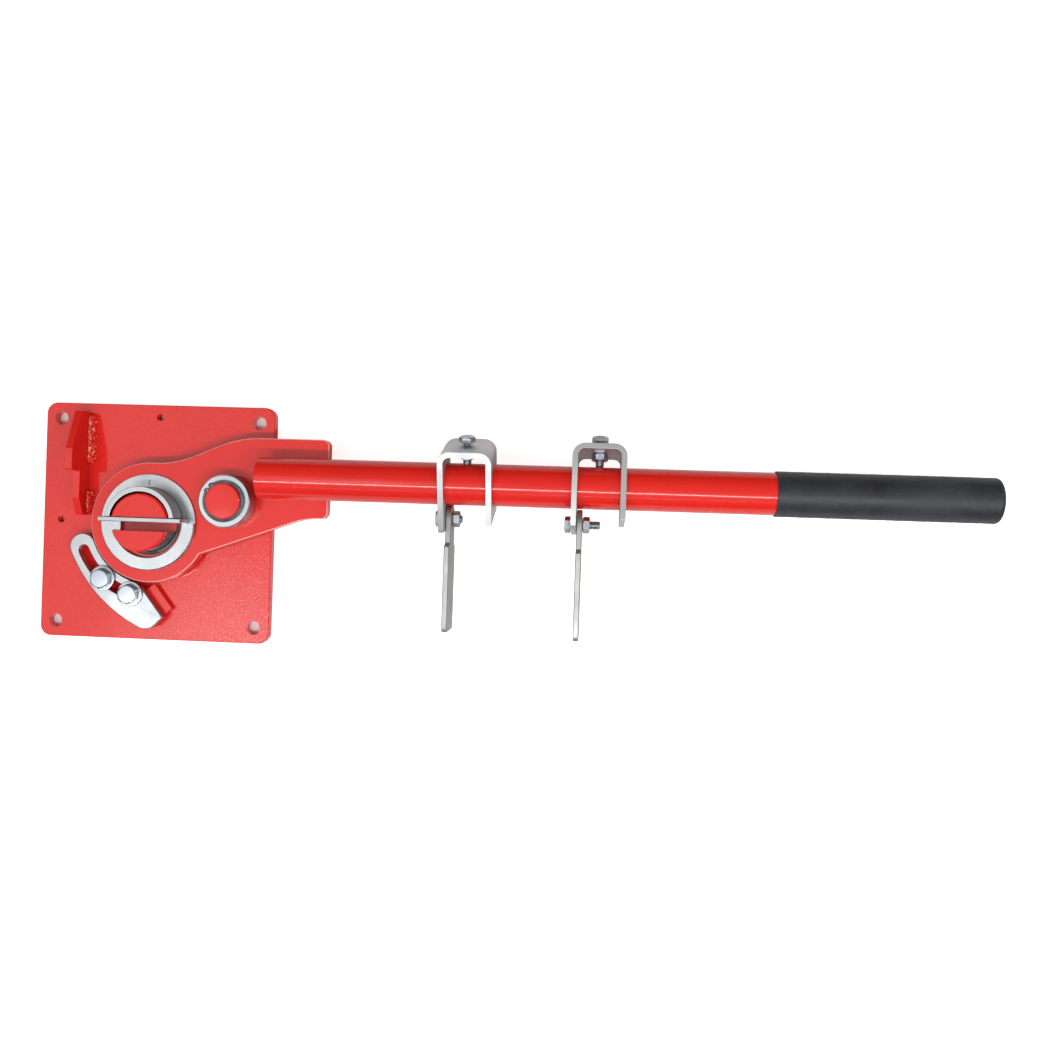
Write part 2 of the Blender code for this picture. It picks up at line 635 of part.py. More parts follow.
def add_snap_ring(dark, lever, place):
    """The open spring ring in the pin's groove, with a drilled lug at each end."""
    inner = PIN_RADIUS - PIN_GROOVE_DEPTH + SEAT_GAP
    outer = inner + SNAP_RING_WIDTH
    low = SNAP_RING_BOTTOM
    high = low + SNAP_RING_THICKNESS
    start = SNAP_RING_GAP_ANGLE + SNAP_RING_GAP_SPAN / 2
    end = start + 360 - SNAP_RING_GAP_SPAN
    outline = arc((0, 0), outer, start, end, TUBE_FACETS)
    outline += arc((0, 0), inner, end, start, TUBE_FACETS)
    ring = add("snap_ring", prism(outline, low, high), dark, lever, place)
    for n, angle in enumerate((start, end)):
        spot = polar(outer - SNAP_RING_LUG_RADIUS / 2, angle)
        lug = cylinder(SNAP_RING_LUG_RADIUS, low, high, SMALL_FACETS // 2)
        shape_by(ring, f"snap_ring_lug_{n + 1}", laid(lug, (0, 0, 1), (*spot, 0)), "UNION")
        ends = (low - CUT_OVERRUN, high + CUT_OVERRUN)
        drill = cylinder(SNAP_RING_LUG_HOLE_RADIUS, *ends, SMALL_FACETS // 3)
        shape_by(ring, f"snap_ring_lug_hole_{n + 1}", laid(drill, (0, 0, 1), (*spot, 0)), "DIFFERENCE")


def stop_face_point(along):
    """A point on the stop's straight face, which meets the head's neck edge flat."""
    foot = polar(NECK_OFFSET + STOP_LEVER_GAP, STOP_FACE_ANGLE - 90)
    return foot + polar(along, STOP_FACE_ANGLE)


def stop_outline():
    """The slotted stop plate seen from above."""
    end_centre = polar(STOP_SLOT_RADIUS, STOP_END_ANGLE)
    back_centre = polar(STOP_HALF_WIDTH - STOP_BACK_RADIUS, STOP_BACK_START_ANGLE, end_centre)
    inner = arc((0, 0), STOP_INNER_RADIUS, STOP_INNER_END_ANGLE, STOP_END_ANGLE, CURVE_STEPS)
    cap = arc(end_centre, STOP_HALF_WIDTH, STOP_END_ANGLE - 180, STOP_BACK_START_ANGLE, CURVE_STEPS)
    back = arc(back_centre, STOP_BACK_RADIUS, STOP_BACK_START_ANGLE, STOP_BACK_END_ANGLE, CURVE_STEPS)
    face_start = stop_face_point(STOP_FACE_START)
    face_end = stop_face_point(STOP_FACE_END)
    tail = crossing(face_end, STOP_TIP_ANGLE, back[-1], STOP_BACK_END_ANGLE + 90)
    tip = rounded([
        (*back[-1], 0),
        (*tail, STOP_TAIL_RADIUS),
        (*face_end, STOP_TIP_RADIUS),
        (*face_start, 0),
        (*inner[0], 0),
    ])
    return inner[:-1] + cap + back[1:-1] + tip[:-1]


def stop_slot_outline():
    """The curved slot, concentric with the post."""
    near = polar(STOP_SLOT_RADIUS, STOP_SLOT_START_ANGLE)
    far = polar(STOP_SLOT_RADIUS, STOP_SLOT_END_ANGLE)
    width = STOP_SLOT_HALF_WIDTH
    first, last = STOP_SLOT_START_ANGLE, STOP_SLOT_END_ANGLE
    outline = arc((0, 0), STOP_SLOT_RADIUS + width, first, last, CURVE_STEPS)
    outline += arc(far, width, last, last + 180, CORNER_STEPS)[1:-1]
    outline += arc((0, 0), STOP_SLOT_RADIUS - width, last, first, CURVE_STEPS)
    outline += arc(near, width, first + 180, first + 360, CORNER_STEPS)[1:-1]
    return outline


def build_stop(paint, zinc):
    """The stop plate on its own frame, and the boss, block, bolts and washers that hold it."""
    stop = add_frame("stop_frame")
    plate = add("stop_plate", prism(stop_outline(), HEAD_UNDERSIDE, STOP_TOP), zinc, stop)
    break_edges(plate, STOP_EDGE_BREAK)
    slot = prism(stop_slot_outline(), HEAD_UNDERSIDE - CUT_OVERRUN, STOP_TOP + CUT_OVERRUN)
    shape_by(plate, "stop_slot", slot, "DIFFERENCE")

    seat = BASE_THICKNESS + SEAT_GAP
    top = HEAD_UNDERSIDE - SEAT_GAP
    hole = STOP_BOLT_RADIUS + SEAT_GAP
    spots = [polar(STOP_SLOT_RADIUS, angle) for angle in STOP_BOLT_ANGLES]
    section = [(hole, seat), (STOP_BOSS_RADIUS, seat), (STOP_BOSS_RADIUS, top), (hole, top)]
    add("stop_boss", turned(section, SMALL_FACETS), paint, None, (*spots[0], 0))

    outward = polar(1, STOP_FACE_ANGLE + 90)
    along = polar(1, STOP_FACE_ANGLE)
    face = stop_face_point(STOP_BLOCK_SLIDE)
    near = face + outward * STOP_BLOCK_REACH
    far = face - outward * STOP_BLOCK_BURIED
    side = along * STOP_BLOCK_WIDTH
    block = add("stop_block", prism([near, far, far + side, near + side], seat, top), paint)
    break_edges(block, STOP_EDGE_BREAK)
    drill = cylinder(hole, seat - CUT_OVERRUN, top + CUT_OVERRUN, SMALL_FACETS)
    shape_by(block, "stop_block_hole", laid(drill, (0, 0, 1), (*spots[1], 0)), "DIFFERENCE")

    washer_low = STOP_TOP + SEAT_GAP
    washer_high = washer_low + STOP_WASHER_THICKNESS
    head_z = washer_high + SEAT_GAP
    section = [(hole, washer_low), (STOP_WASHER_RADIUS, washer_low)]
    section += [(STOP_WASHER_RADIUS, washer_high), (hole, washer_high)]
    sizes = (STOP_BOLT_FLATS, STOP_BOLT_HEAD, STOP_BOLT_RADIUS)
    for n, spot in enumerate(spots):
        washer = add(f"stop_washer_{n + 1}", turned(section, SMALL_FACETS), zinc, None, (*spot, 0))
        washer.rotation_euler = (0, 0, math.radians(STOP_BOLT_ANGLES[n]))
        length = head_z - seat - SEAT_GAP
        add_bolt(f"stop_bolt_{n + 1}", zinc, None, (*spot, head_z), (0, 0, 1), sizes, length)


def strap_outline():
    """The U strap seen from above in the clamp's frame, whose origin is on the tube's axis."""
    outer = STRAP_OUTER_WIDTH / 2
    inner = outer - STRAP_THICKNESS
    crown = STRAP_CROWN_Y
    under = crown - STRAP_THICKNESS
    bend = STRAP_BEND_RADIUS
    long_leg = -STRAP_LONG_LEG - CUT_OVERRUN
    return rounded([
        (-outer, long_leg, 0),
        (-inner, long_leg, 0),
        (-inner, under, bend),
        (inner, under, bend),
        (inner, -STRAP_SHORT_LEG, 0),
        (outer, -STRAP_SHORT_LEG, 0),
        (outer, crown, bend + STRAP_THICKNESS),
        (-outer, crown, bend + STRAP_THICKNESS),
    ])


def finger_outline():
    """The finger in its own frame: pivot at the origin, pointing along -Y, width along Z."""
    half = FINGER_WIDTH / 2
    root = arc((0, 0), FINGER_ROOT_RADIUS, 0, 180, CURVE_STEPS)
    blade = rounded([
        (-FINGER_ROOT_RADIUS, -FINGER_SHOULDER_NEAR, 0),
        (-half, -FINGER_SHOULDER_FAR, 0),
        (-half, -FINGER_LENGTH, FINGER_TIP_RADIUS),
        (half, -FINGER_LENGTH, FINGER_TIP_RADIUS),
        (half, -FINGER_SHOULDER_FAR, 0),
        (FINGER_ROOT_RADIUS, -FINGER_SHOULDER_NEAR, 0),
    ])
    return root + blade


def build_clamp(label, lever, place_x, tilt, bolt_end, set_stand, zinc):
    """One gauge clamp round the lever's tube, turned about the tube by its tilt."""
    turn = math.radians(tilt)
    centre = (place_x, TUBE_OFFSET_Y, TUBE_AXIS_Z)
    frame = add_frame(f"{label}_clamp_frame", lever, centre, (turn, 0, 0))
    half_height = STRAP_HEIGHT / 2
    outer = STRAP_OUTER_WIDTH / 2
    inner = outer - STRAP_THICKNESS
    strap = add(f"{label}_clamp_strap", prism(strap_outline(), -half_height, half_height), zinc, frame)
    sweep = half_height + SEAT_GAP
    past_crown = STRAP_CROWN_Y + CUT_OVERRUN
    side = rounded([
        (past_crown, -sweep, 0),
        (past_crown, sweep, 0),
        (-STRAP_LONG_LEG, sweep, STRAP_END_RADIUS),
        (-STRAP_LONG_LEG, -sweep, STRAP_END_RADIUS),
    ])
    width = 2 * (outer + CUT_OVERRUN)
    trim = sideways(prism(side, 0, width), -width / 2)
    shape_by(strap, f"{label}_strap_end", trim, "INTERSECT")
    bore = cylinder(TUBE_RADIUS + SEAT_GAP, -width / 2, width / 2, TUBE_FACETS)
    shape_by(strap, f"{label}_strap_bore", laid(bore, (1, 0, 0)), "DIFFERENCE")
    hole = SMALL_BOLT_RADIUS + SEAT_GAP
    reach = STRAP_THICKNESS + CUT_OVERRUN
    drill = laid(cylinder(hole, -reach, CUT_OVERRUN, SMALL_FACETS), (0, 1, 0), (0, STRAP_CROWN_Y, 0))
    shape_by(strap, f"{label}_set_hole", drill, "DIFFERENCE")
    drill = cylinder(hole, -CUT_OVERRUN, reach, SMALL_FACETS)
    leg_place = (-outer, -FINGER_PIVOT_DROP, 0)
    shape_by(strap, f"{label}_pivot_hole", laid(drill, (1, 0, 0), leg_place), "DIFFERENCE")

    sizes = (SMALL_BOLT_FLATS, SMALL_BOLT_HEAD, SMALL_BOLT_RADIUS)
    set_seat = STRAP_CROWN_Y + set_stand
    set_length = set_seat - TUBE_RADIUS - SEAT_GAP
    add_bolt(f"{label}_set_bolt", zinc, frame, (0, set_seat, 0), (0, 1, 0), sizes, set_length)
    nut_y = STRAP_CROWN_Y - STRAP_THICKNESS - SEAT_GAP
    nut_sizes = (SMALL_BOLT_FLATS, SMALL_NUT_HEIGHT, hole)
    add_nut(f"{label}_set_nut", zinc, frame, (0, nut_y, 0), (0, -1, 0), *nut_sizes)

    finger_x = SEAT_GAP - inner
    nut_x = finger_x + FINGER_THICKNESS + SEAT_GAP
    head_x = -outer - SEAT_GAP
    pivot_length = nut_x + SMALL_NUT_HEIGHT + bolt_end - head_x
    pivot = (head_x, -FINGER_PIVOT_DROP, 0)
    add_bolt(f"{label}_pivot_bolt", zinc, frame, pivot, (-1, 0, 0), sizes, pivot_length)
    nut_place = (nut_x, -FINGER_PIVOT_DROP, 0)
    add_nut(f"{label}_pivot_nut", zinc, frame, nut_place, (1, 0, 0), *nut_sizes)

    hinge = add_frame(f"{label}_finger_frame", frame, (0, -FINGER_PIVOT_DROP, 0), (-turn, 0, 0))
    blade = sideways(prism([(y, z) for z, y in finger_outline()], 0, FINGER_THICKNESS), finger_x)
    finger = add(f"{label}_finger", blade, zinc, hinge)
    break_edges(finger, STOP_EDGE_BREAK)
    drill_end = finger_x + FINGER_THICKNESS + CUT_OVERRUN
    drill = cylinder(hole, finger_x - CUT_OVERRUN, drill_end, SMALL_FACETS)
    shape_by(finger, f"{label}_finger_hole", laid(drill, (1, 0, 0)), "DIFFERENCE")


def main():
    """Builds every piece of the bender."""
    clear_scene()
    paint = make_material("red_paint", (0.72, 0.03, 0.02), 0.35, 0.0)
    zinc = make_material("bright_zinc", (0.78, 0.79, 0.8), 0.3, 1.0)
    bronze = make_material("bearing_bronze", (0.55, 0.38, 0.18), 0.4, 1.0)
    rubber = make_material("black_grip", (0.03, 0.035, 0.04), 0.6, 0.0)
    dark = make_material("black_spring_steel", (0.05, 0.05, 0.055), 0.45, 0.8)
    build_base_plate(paint)
    build_post(paint, bronze)
    build_bracket(paint)
    build_former(zinc)
    lever = build_lever(paint, zinc, bronze, rubber, dark)
    build_stop(paint, zinc)
    build_clamp("inner", lever, INNER_CLAMP_X, INNER_CLAMP_TILT, INNER_BOLT_END, INNER_SET_STAND, zinc)
    build_clamp("outer", lever, OUTER_CLAMP_X, OUTER_CLAMP_TILT, OUTER_BOLT_END, OUTER_SET_STAND, zinc)


main()
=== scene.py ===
"""The looks of a bench rebar bender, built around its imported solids.

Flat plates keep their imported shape: a merged copy gets softened edges. Round pieces, fasteners
and weld beads are surfaces worked out with numpy on a grid of two parameters.
Shapes are given in millimetres and made in metres, in the frame of the solids. Finishes and the
studio are in metres throughout, and a noise's scale is per metre.
"""

import logging
import math
from dataclasses import dataclass
from enum import Enum
from typing import Callable

import bmesh
import bpy
import numpy as np
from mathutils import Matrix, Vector


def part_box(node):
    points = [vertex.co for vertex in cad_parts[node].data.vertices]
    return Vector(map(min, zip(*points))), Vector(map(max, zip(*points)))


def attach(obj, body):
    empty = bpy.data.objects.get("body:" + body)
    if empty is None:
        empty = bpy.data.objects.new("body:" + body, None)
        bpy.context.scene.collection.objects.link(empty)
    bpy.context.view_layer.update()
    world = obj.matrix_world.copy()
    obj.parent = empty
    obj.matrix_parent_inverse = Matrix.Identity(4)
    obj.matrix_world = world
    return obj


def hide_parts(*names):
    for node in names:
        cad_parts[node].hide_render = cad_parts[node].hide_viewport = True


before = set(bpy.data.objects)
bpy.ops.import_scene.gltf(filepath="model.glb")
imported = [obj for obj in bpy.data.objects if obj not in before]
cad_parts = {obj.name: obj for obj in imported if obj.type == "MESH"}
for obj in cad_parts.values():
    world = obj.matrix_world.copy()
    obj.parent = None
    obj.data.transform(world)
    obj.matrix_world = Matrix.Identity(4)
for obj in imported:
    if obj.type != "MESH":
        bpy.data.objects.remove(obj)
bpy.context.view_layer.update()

logging.basicConfig(level=logging.INFO, format="%(message)s")
LOG = logging.getLogger("bender")

MM = 0.001
GAP = 0.3  # between seated solids, millimetres
SMOOTH_LIMIT = math.radians(32)  # sharper edges keep their line
BEVEL_LIMIT = math.radians(30)  # sharper edges are rounded
FLAT_LIMIT = math.radians(0.6)  # faces closer than this to one plane become one
COPY_MERGE, COPY_SLIVER = 3e-6, 2e-6  # metres, for copies of solids
GRID_MERGE, GRID_SLIVER = 2e-6, 1e-6  # metres, for grids
THREAD_ROWS = 7  # rows of points in each pitch of a thread
THREAD_DEPTH, THREAD_LEAD = 0.6, 0.8  # of a pitch: its depth and how far its tip narrows
HEX_FACE = 0.94  # a hexagon's round face over its flats
Array = np.ndarray
Triple = tuple[float, float, float]
Waves = tuple[Triple, ...]
Colour = Triple
Material = bpy.types.Material
Node = bpy.types.Node
Socket = bpy.types.NodeSocket


class Axis(Enum):
    """The direction that a turned piece's own axis points along."""

    X = (1.0, 0.0, 0.0)
    Y = (0.0, 1.0, 0.0)
    Z = (0.0, 0.0, 1.0)


class Body(Enum):
    """The moving bodies of the bender."""

    BASE = "base"
    STOP = "stop"
    LEVER = "lever"
    ROLLER = "roller"
    INNER_CLAMP = "inner_clamp"
    INNER_FINGER = "inner_finger"
    OUTER_CLAMP = "outer_clamp"
    OUTER_FINGER = "outer_finger"


class Slot(Enum):
    """The record's material slots."""

    PAINT = "red_paint"
    SATIN = "satin_zinc"
    BRIGHT = "bright_zinc"
    BRONZE = "bronze"
    GRIP = "black_grip"
    SPRING = "spring_steel"


# Surfaces on a grid


def basis(axis: Array) -> Array:
    """The turn that carries +Z onto an axis, as right-handed unit rows: side, other side, axis."""
    along = np.asarray(axis, float) / np.linalg.norm(axis)
    helper = np.array([0.0, 0.0, 1.0]) if abs(along[2]) < 0.9 else np.array([1.0, 0.0, 0.0])
    side = np.cross(helper, along)
    side /= np.linalg.norm(side)
    return np.stack([side, np.cross(along, side), along])


def placed(grid: Array, axis: Array, origin: Array) -> Array:
    """A grid drawn about +Z, turned to an axis and moved to an origin: origin + grid times basis."""
    return grid @ basis(axis) + np.asarray(origin, float)


def round_angles(columns: int) -> Array:
    """Even angles of a full turn, without its end."""
    return np.linspace(0, math.tau, columns, endpoint=False)


def polar(radius: Array, angle: Array, height: Array) -> Array:
    """Points (r cos a, r sin a, h), from arrays whose shapes go together."""
    return np.stack(np.broadcast_arrays(radius * np.cos(angle), radius * np.sin(angle), height), axis=-1)


def softened(profile: Array, radius: float, closed: bool, steps: int = 5) -> Array:
    """Rounds each corner of a profile with a quadratic curve.

    The curve starts and ends a radius before and after the corner, or at 45% of a shorter side:
    (1-t)^2 start + 2t(1-t) corner + t^2 end.

    Args:
        profile: (radius, height) points, millimetres.
        radius: how far from the corner the rounding starts.
        closed: True if the last point joins the first.
        steps: points on each rounded corner.

    Returns:
        The rounded profile. The ends of an open profile stay as they are.
    """
    points = np.asarray(profile, float)
    before = np.roll(points, 1, 0) - points
    after = np.roll(points, -1, 0) - points
    reach_before = np.minimum(radius, 0.45 * np.linalg.norm(before, axis=1))
    reach_after = np.minimum(radius, 0.45 * np.linalg.norm(after, axis=1))
    start = points + before / np.linalg.norm(before, axis=1)[:, None] * reach_before[:, None]
    end = points + after / np.linalg.norm(after, axis=1)[:, None] * reach_after[:, None]
    t = np.linspace(0, 1, steps)[None, :, None]
    curve = (1 - t) ** 2 * start[:, None] + 2 * t * (1 - t) * points[:, None] + t**2 * end[:, None]
    if closed:
        return curve.reshape(-1, 2)
    return np.concatenate([points[:1], curve[1:-1].reshape(-1, 2), points[-1:]])


def turned(profile: Array, columns: int = 96) -> Array:
    """A profile of (radius, height) points turned about +Z, in a number of columns."""
    radius, height = np.asarray(profile, float).T
    return polar(radius[:, None], round_angles(columns), height[:, None])


def ring_profile(inner: float, outer: float, low: float, high: float, rounding: float) -> Array:
    """The section of a ring with rounded corners, as a closed profile of (radius, height) points."""
    return softened([(inner, low), (outer, low), (outer, high), (inner, high)], rounding, True)


def waves(along: Array, parts: Waves) -> Array:
    """The sum of sine waves along a line, each given as its height, rate and start."""
    return sum(height * np.sin(along * rate + start) for height, rate, start in parts)


def threaded(radius: float, pitch: float, low: float, high: float, columns: int = 36) -> Array:
    """An external thread: the radius falls by a rounded saw of height / pitch - angle / turn.

    Args:
        radius: the thread's outer radius.
        pitch: height gained in a turn.
        low: where the thread starts.
        high: where it ends, in a cone one pitch long.
        columns: facets of a full turn.

    Returns:
        Points about +Z with both ends closed on the axis.
    """
    rows = max(8, int((high - low) / pitch * THREAD_ROWS))
    height = np.linspace(low, high, rows)[:, None]
    angle = round_angles(columns)[None, :]
    phase = (height / pitch - angle / math.tau) % 1.0
    depth = THREAD_DEPTH * pitch * np.clip(1.25 * np.abs(2 * phase - 1) - 0.12, 0, 1)
    lead = np.clip((high - height) / pitch, 0, 1) * THREAD_LEAD * pitch - THREAD_LEAD * pitch
    r = np.minimum(radius - depth, radius + lead)
    pole = np.zeros((1, columns, 3))
    return np.concatenate([pole + (0, 0, low), polar(r, angle, height), pole + (0, 0, high)])


def hexagonal(flats: float, height: float, bore: float, chamfer_low: bool, columns: int = 72) -> Array:
    """A hexagon whose corners a 30 degree cone cuts, seen at each angle a.

    The hexagon's edge is at flats / 2 / cos(a from the middle of a flat). The cone leaves a round
    face and drops the edge by (edge - face) tan 30.

    Args:
        flats: width across flats.
        height: full height, with the bearing side at zero.
        bore: radius of the hole, or zero for a closed head.
        chamfer_low: True if the bearing side is coned too.
        columns: facets of a full turn, a multiple of twelve.

    Returns:
        Rows from the top's middle, or bore, over the edge and under to the bottom's.
    """
    angle = round_angles(columns)
    from_flat = (angle % (math.pi / 3)) - math.pi / 6
    edge = flats / 2 / np.cos(from_flat)
    face = HEX_FACE * flats / 2
    drop = (edge - face) * math.tan(math.radians(30))
    level = np.ones_like(angle)
    rim, nip, step = 0.45, 0.15, 0.06
    low = drop if chamfer_low else 0.25 * level
    rows = [
        (bore * level, height * level), ((bore + 0.5) * level, height * level),
        ((face - rim) * level, height * level),
        ((face - 0.1 * rim) * level, (height - 0.06 * rim) * level),
        (edge - nip, height - drop + step), (edge, height - drop - 2 * step), (edge, low + 2 * step),
        (edge - nip, low - step if chamfer_low else 0.05 * level), (face * level, 0 * level),
        ((bore + 0.5) * level, 0 * level), (bore * level, 0 * level),
    ]
    return np.stack([polar(r, angle, z) for r, z in rows])


def quads(rows: int, columns: int, closed_rows: bool, closed_columns: bool) -> Array:
    """The corner indices of a grid's four-sided faces.

    Args:
        rows: rows of the grid.
        columns: columns of the grid.
        closed_rows: True if the last row joins the first.
        closed_columns: True if the last column joins the first.

    Returns:
        Indices, shape (faces, 4).
    """
    index = np.arange(rows * columns).reshape(rows, columns)
    right, down = np.roll(index, -1, 1), np.roll(index, -1, 0)
    both = np.roll(down, -1, 1)
    faces = np.stack([index, right, both, down], axis=-1)
    return faces[: rows - (not closed_rows), : columns - (not closed_columns)].reshape(-1, 4)


def surface(
    name: str, grids: list[Array], closed_rows: bool = False, closed_columns: bool = True,
) -> bpy.types.Object:
    """A smooth piece from one or more grids, with poles and seams merged and faces outwards.

    Args:
        name: the piece's name.
        grids: point grids, millimetres, in the frame of the solids.
        closed_rows: True if each grid's last row joins its first.
        closed_columns: True if each grid's last column joins its first.

    Returns:
        The new object, at the origin.
    """
    points = np.concatenate([grid.reshape(-1, 3) for grid in grids]) * MM
    faces, start = [], 0
    for grid in grids:
        faces.append(quads(grid.shape[0], grid.shape[1], closed_rows, closed_columns) + start)
        start += grid.shape[0] * grid.shape[1]
    mesh = bpy.data.meshes.new(name)
    mesh.from_pydata(points.tolist(), [], np.concatenate(faces).tolist())
    shape = bmesh.new()
    shape.from_mesh(mesh)
    bmesh.ops.remove_doubles(shape, verts=shape.verts, dist=GRID_MERGE)
    bmesh.ops.dissolve_degenerate(shape, edges=shape.edges, dist=GRID_SLIVER)
    shape.normal_update()
    bmesh.ops.recalc_face_normals(shape, faces=shape.faces)
    shape.to_mesh(mesh)
    shape.free()
    mesh.shade_smooth()
    mesh.set_sharp_from_angle(angle=SMOOTH_LIMIT)
    piece = bpy.data.objects.new(name, mesh)
    bpy.context.scene.collection.objects.link(piece)
    return piece


def softened_copy(node: str, width: float = 0.35) -> bpy.types.Object:
    """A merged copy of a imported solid, with a small rounding along its edges.

    Args:
        node: the solid to copy.
        width: the rounding's width, millimetres.

    Returns:
        The copy, at the origin.
    """
    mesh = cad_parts[node].data.copy()
    mesh.materials.clear()
    shape = bmesh.new()
    shape.from_mesh(mesh)
    bmesh.ops.remove_doubles(shape, verts=shape.verts, dist=COPY_MERGE)
    bmesh.ops.dissolve_degenerate(shape, edges=shape.edges, dist=COPY_SLIVER)
    bmesh.ops.dissolve_limit(shape, angle_limit=FLAT_LIMIT, verts=shape.verts, edges=shape.edges)
    shape.normal_update()
    shape.to_mesh(mesh)
    shape.free()
    for name in [a.name for a in mesh.attributes if a.name in ("custom_normal", "sharp_face")]:
        mesh.attributes.remove(mesh.attributes[name])
    mesh.shade_smooth()
    mesh.set_sharp_from_angle(angle=SMOOTH_LIMIT)
    piece = bpy.data.objects.new(f"{node}_finished", mesh)
    bpy.context.scene.collection.objects.link(piece)
    bevel = piece.modifiers.new("rounding", "BEVEL")
    bevel.width = width * MM
    bevel.segments = 2
    bevel.limit_method = "ANGLE"
    bevel.angle_limit = BEVEL_LIMIT
    bevel.harden_normals = True
    bevel.use_clamp_overlap = True
    return piece


def finished(piece: bpy.types.Object, body: Body, slot: Slot, material: Material, *nodes: str) -> None:
    """Gives a piece its material and body, and hides the solids that it stands for.

    Args:
        piece: the new piece.
        body: the body that it rides on.
        slot: not used.
        material: its finish.
        nodes: solids that it replaces.
    """
    piece.data.materials.clear()
    piece.data.materials.append(material)
    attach(piece, body.value)
    if nodes:
        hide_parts(*nodes)
    LOG.info("%s: %d faces, on %s", piece.name, len(piece.data.polygons), body.value)


def plated(node: str, width: float, body: Body, slot: Slot, material: Material) -> None:
    """Finishes a solid by its softened copy, whose edges are rounded by a width in millimetres."""
    finished(softened_copy(node, width), body, slot, material, node)


def shelled(node: str, grid: Array, body: Body, slot: Slot, material: Material, ring: bool = True) -> None:
    """Finishes a solid by a grid, whose last row joins its first if it is a ring."""
    finished(surface(f"{node}_finished", [grid], closed_rows=ring), body, slot, material, node)


def extent(node: str) -> tuple[Array, Array]:
    """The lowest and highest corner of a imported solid, in millimetres."""
    low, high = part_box(node)
    return np.array(low) / MM, np.array(high) / MM


def upright_centre(node: str) -> Array:
    """The foot of a solid's upright middle line, at height zero, in millimetres."""
    low, high = extent(node)
    return (low + high) / 2 * (1, 1, 0)


# Node graphs


@dataclass
class Graph:
    """A short way to add nodes to a tree and join them."""

    tree: bpy.types.NodeTree

    def fill(self, node: Node, inputs: dict[str | int, object]) -> Node:
        """Fills a node's inputs, by name or number, with sockets, which are linked, or values."""
        for key, value in inputs.items():
            if isinstance(value, bpy.types.NodeSocket):
                self.tree.links.new(value, node.inputs[key])
            else:
                node.inputs[key].default_value = value
        return node

    def add(self, kind: str, inputs: dict[str | int, object] | None = None, **settings: object) -> Node:
        """Adds a node of a kind, with its inputs filled and its properties set."""
        node = self.tree.nodes.new(kind)
        for key, value in settings.items():
            setattr(node, key, value)
        return self.fill(node, inputs or {})

    def maths(self, operation: str, first: object, second: object = 0.0) -> Socket:
        """One step of arithmetic, on sockets or numbers."""
        return self.add("ShaderNodeMath", {0: first, 1: second}, operation=operation).outputs[0]

    def times(self, first: object, second: object) -> Socket:
        """The product of two sockets or numbers."""
        return self.maths("MULTIPLY", first, second)

    def plus(self, first: object, second: object) -> Socket:
        """The sum of two sockets or numbers."""
        return self.maths("ADD", first, second)

    def noise(self, vector: Socket, scale: object, detail: float = 3.0, roughness: float = 0.55) -> Socket:
        """A noise value about 0.5."""
        inputs = {"Vector": vector, "Scale": scale, "Detail": detail, "Roughness": roughness}
        return self.add("ShaderNodeTexNoise", inputs).outputs["Fac"]

    def ramp(self, value: Socket, low: float, high: float, start: float = 0.0, end: float = 1.0) -> Socket:
        """Maps a value from low..high to start..end, held at the ends."""
        inputs = {"Value": value, 1: low, 2: high, 3: start, 4: end}
        return self.add("ShaderNodeMapRange", inputs, clamp=True).outputs[0]

    def mixed(self, amount: object, first: object, second: object) -> Socket:
        """Two colours mixed by an amount."""
        first, second = ((*value, 1.0) if isinstance(value, tuple) else value for value in (first, second))
        return self.add("ShaderNodeMix", {0: amount, 6: first, 7: second}, data_type="RGBA").outputs[2]

    def stretched(
        self, vector: Socket, scale: Triple = (1, 1, 1), place: Triple = (0, 0, 0), turn: Triple = (0, 0, 0),
    ) -> Socket:
        """Coordinates moved, turned and stretched."""
        inputs = {"Vector": vector, "Location": place, "Rotation": turn, "Scale": scale}
        return self.add("ShaderNodeMapping", inputs).outputs[0]

    def parts(self, vector: Socket) -> tuple[Socket, Socket, Socket]:
        """The X, Y and Z of a vector."""
        return tuple(self.add("ShaderNodeSeparateXYZ", {0: vector}).outputs)

    def from_axis(self, x: Socket, y: Socket) -> Socket:
        """The distance from the Z axis: the root of x squared plus y squared."""
        return self.maths("SQRT", self.plus(self.maths("POWER", x, 2.0), self.maths("POWER", y, 2.0)))

    def upright_part(self) -> Socket:
        """The Z part of the face's own normal."""
        return self.parts(self.add("ShaderNodeNewGeometry").outputs["True Normal"])[2]

    def use(self, group: bpy.types.NodeTree, vector: Socket, scale: float) -> bpy.types.NodeOutputs:
        """Places a shared effect, and gives its outputs."""
        return self.add("ShaderNodeGroup", {"Vector": vector, "Scale": scale}, node_tree=group).outputs

    def bump(self, height: Socket, strength: float, distance: float) -> Socket:
        """A normal raised by a height; the distance is in metres."""
        inputs = {"Height": height, "Strength": strength, "Distance": distance}
        return self.add("ShaderNodeBump", inputs).outputs[0]


Recipe = Callable[[Graph, Socket, Socket], tuple[Socket, ...]]


def effect(name: str, outputs: tuple[str, ...], build: Recipe) -> bpy.types.NodeTree:
    """A shader node group with the inputs Vector and Scale, and values as outputs.

    Args:
        name: the group's name.
        outputs: the outputs' names.
        build: a function of the graph, vector and scale that returns a socket for each output.

    Returns:
        The group.
    """
    group = bpy.data.node_groups.new(name, "ShaderNodeTree")
    group.interface.new_socket("Vector", in_out="INPUT", socket_type="NodeSocketVector")
    group.interface.new_socket("Scale", in_out="INPUT", socket_type="NodeSocketFloat")
    for label in outputs:
        group.interface.new_socket(label, in_out="OUTPUT", socket_type="NodeSocketFloat")
    graph = Graph(group)
    given = graph.add("NodeGroupInput").outputs
    graph.add("NodeGroupOutput", dict(zip(outputs, build(graph, given["Vector"], given["Scale"]))))
    return group


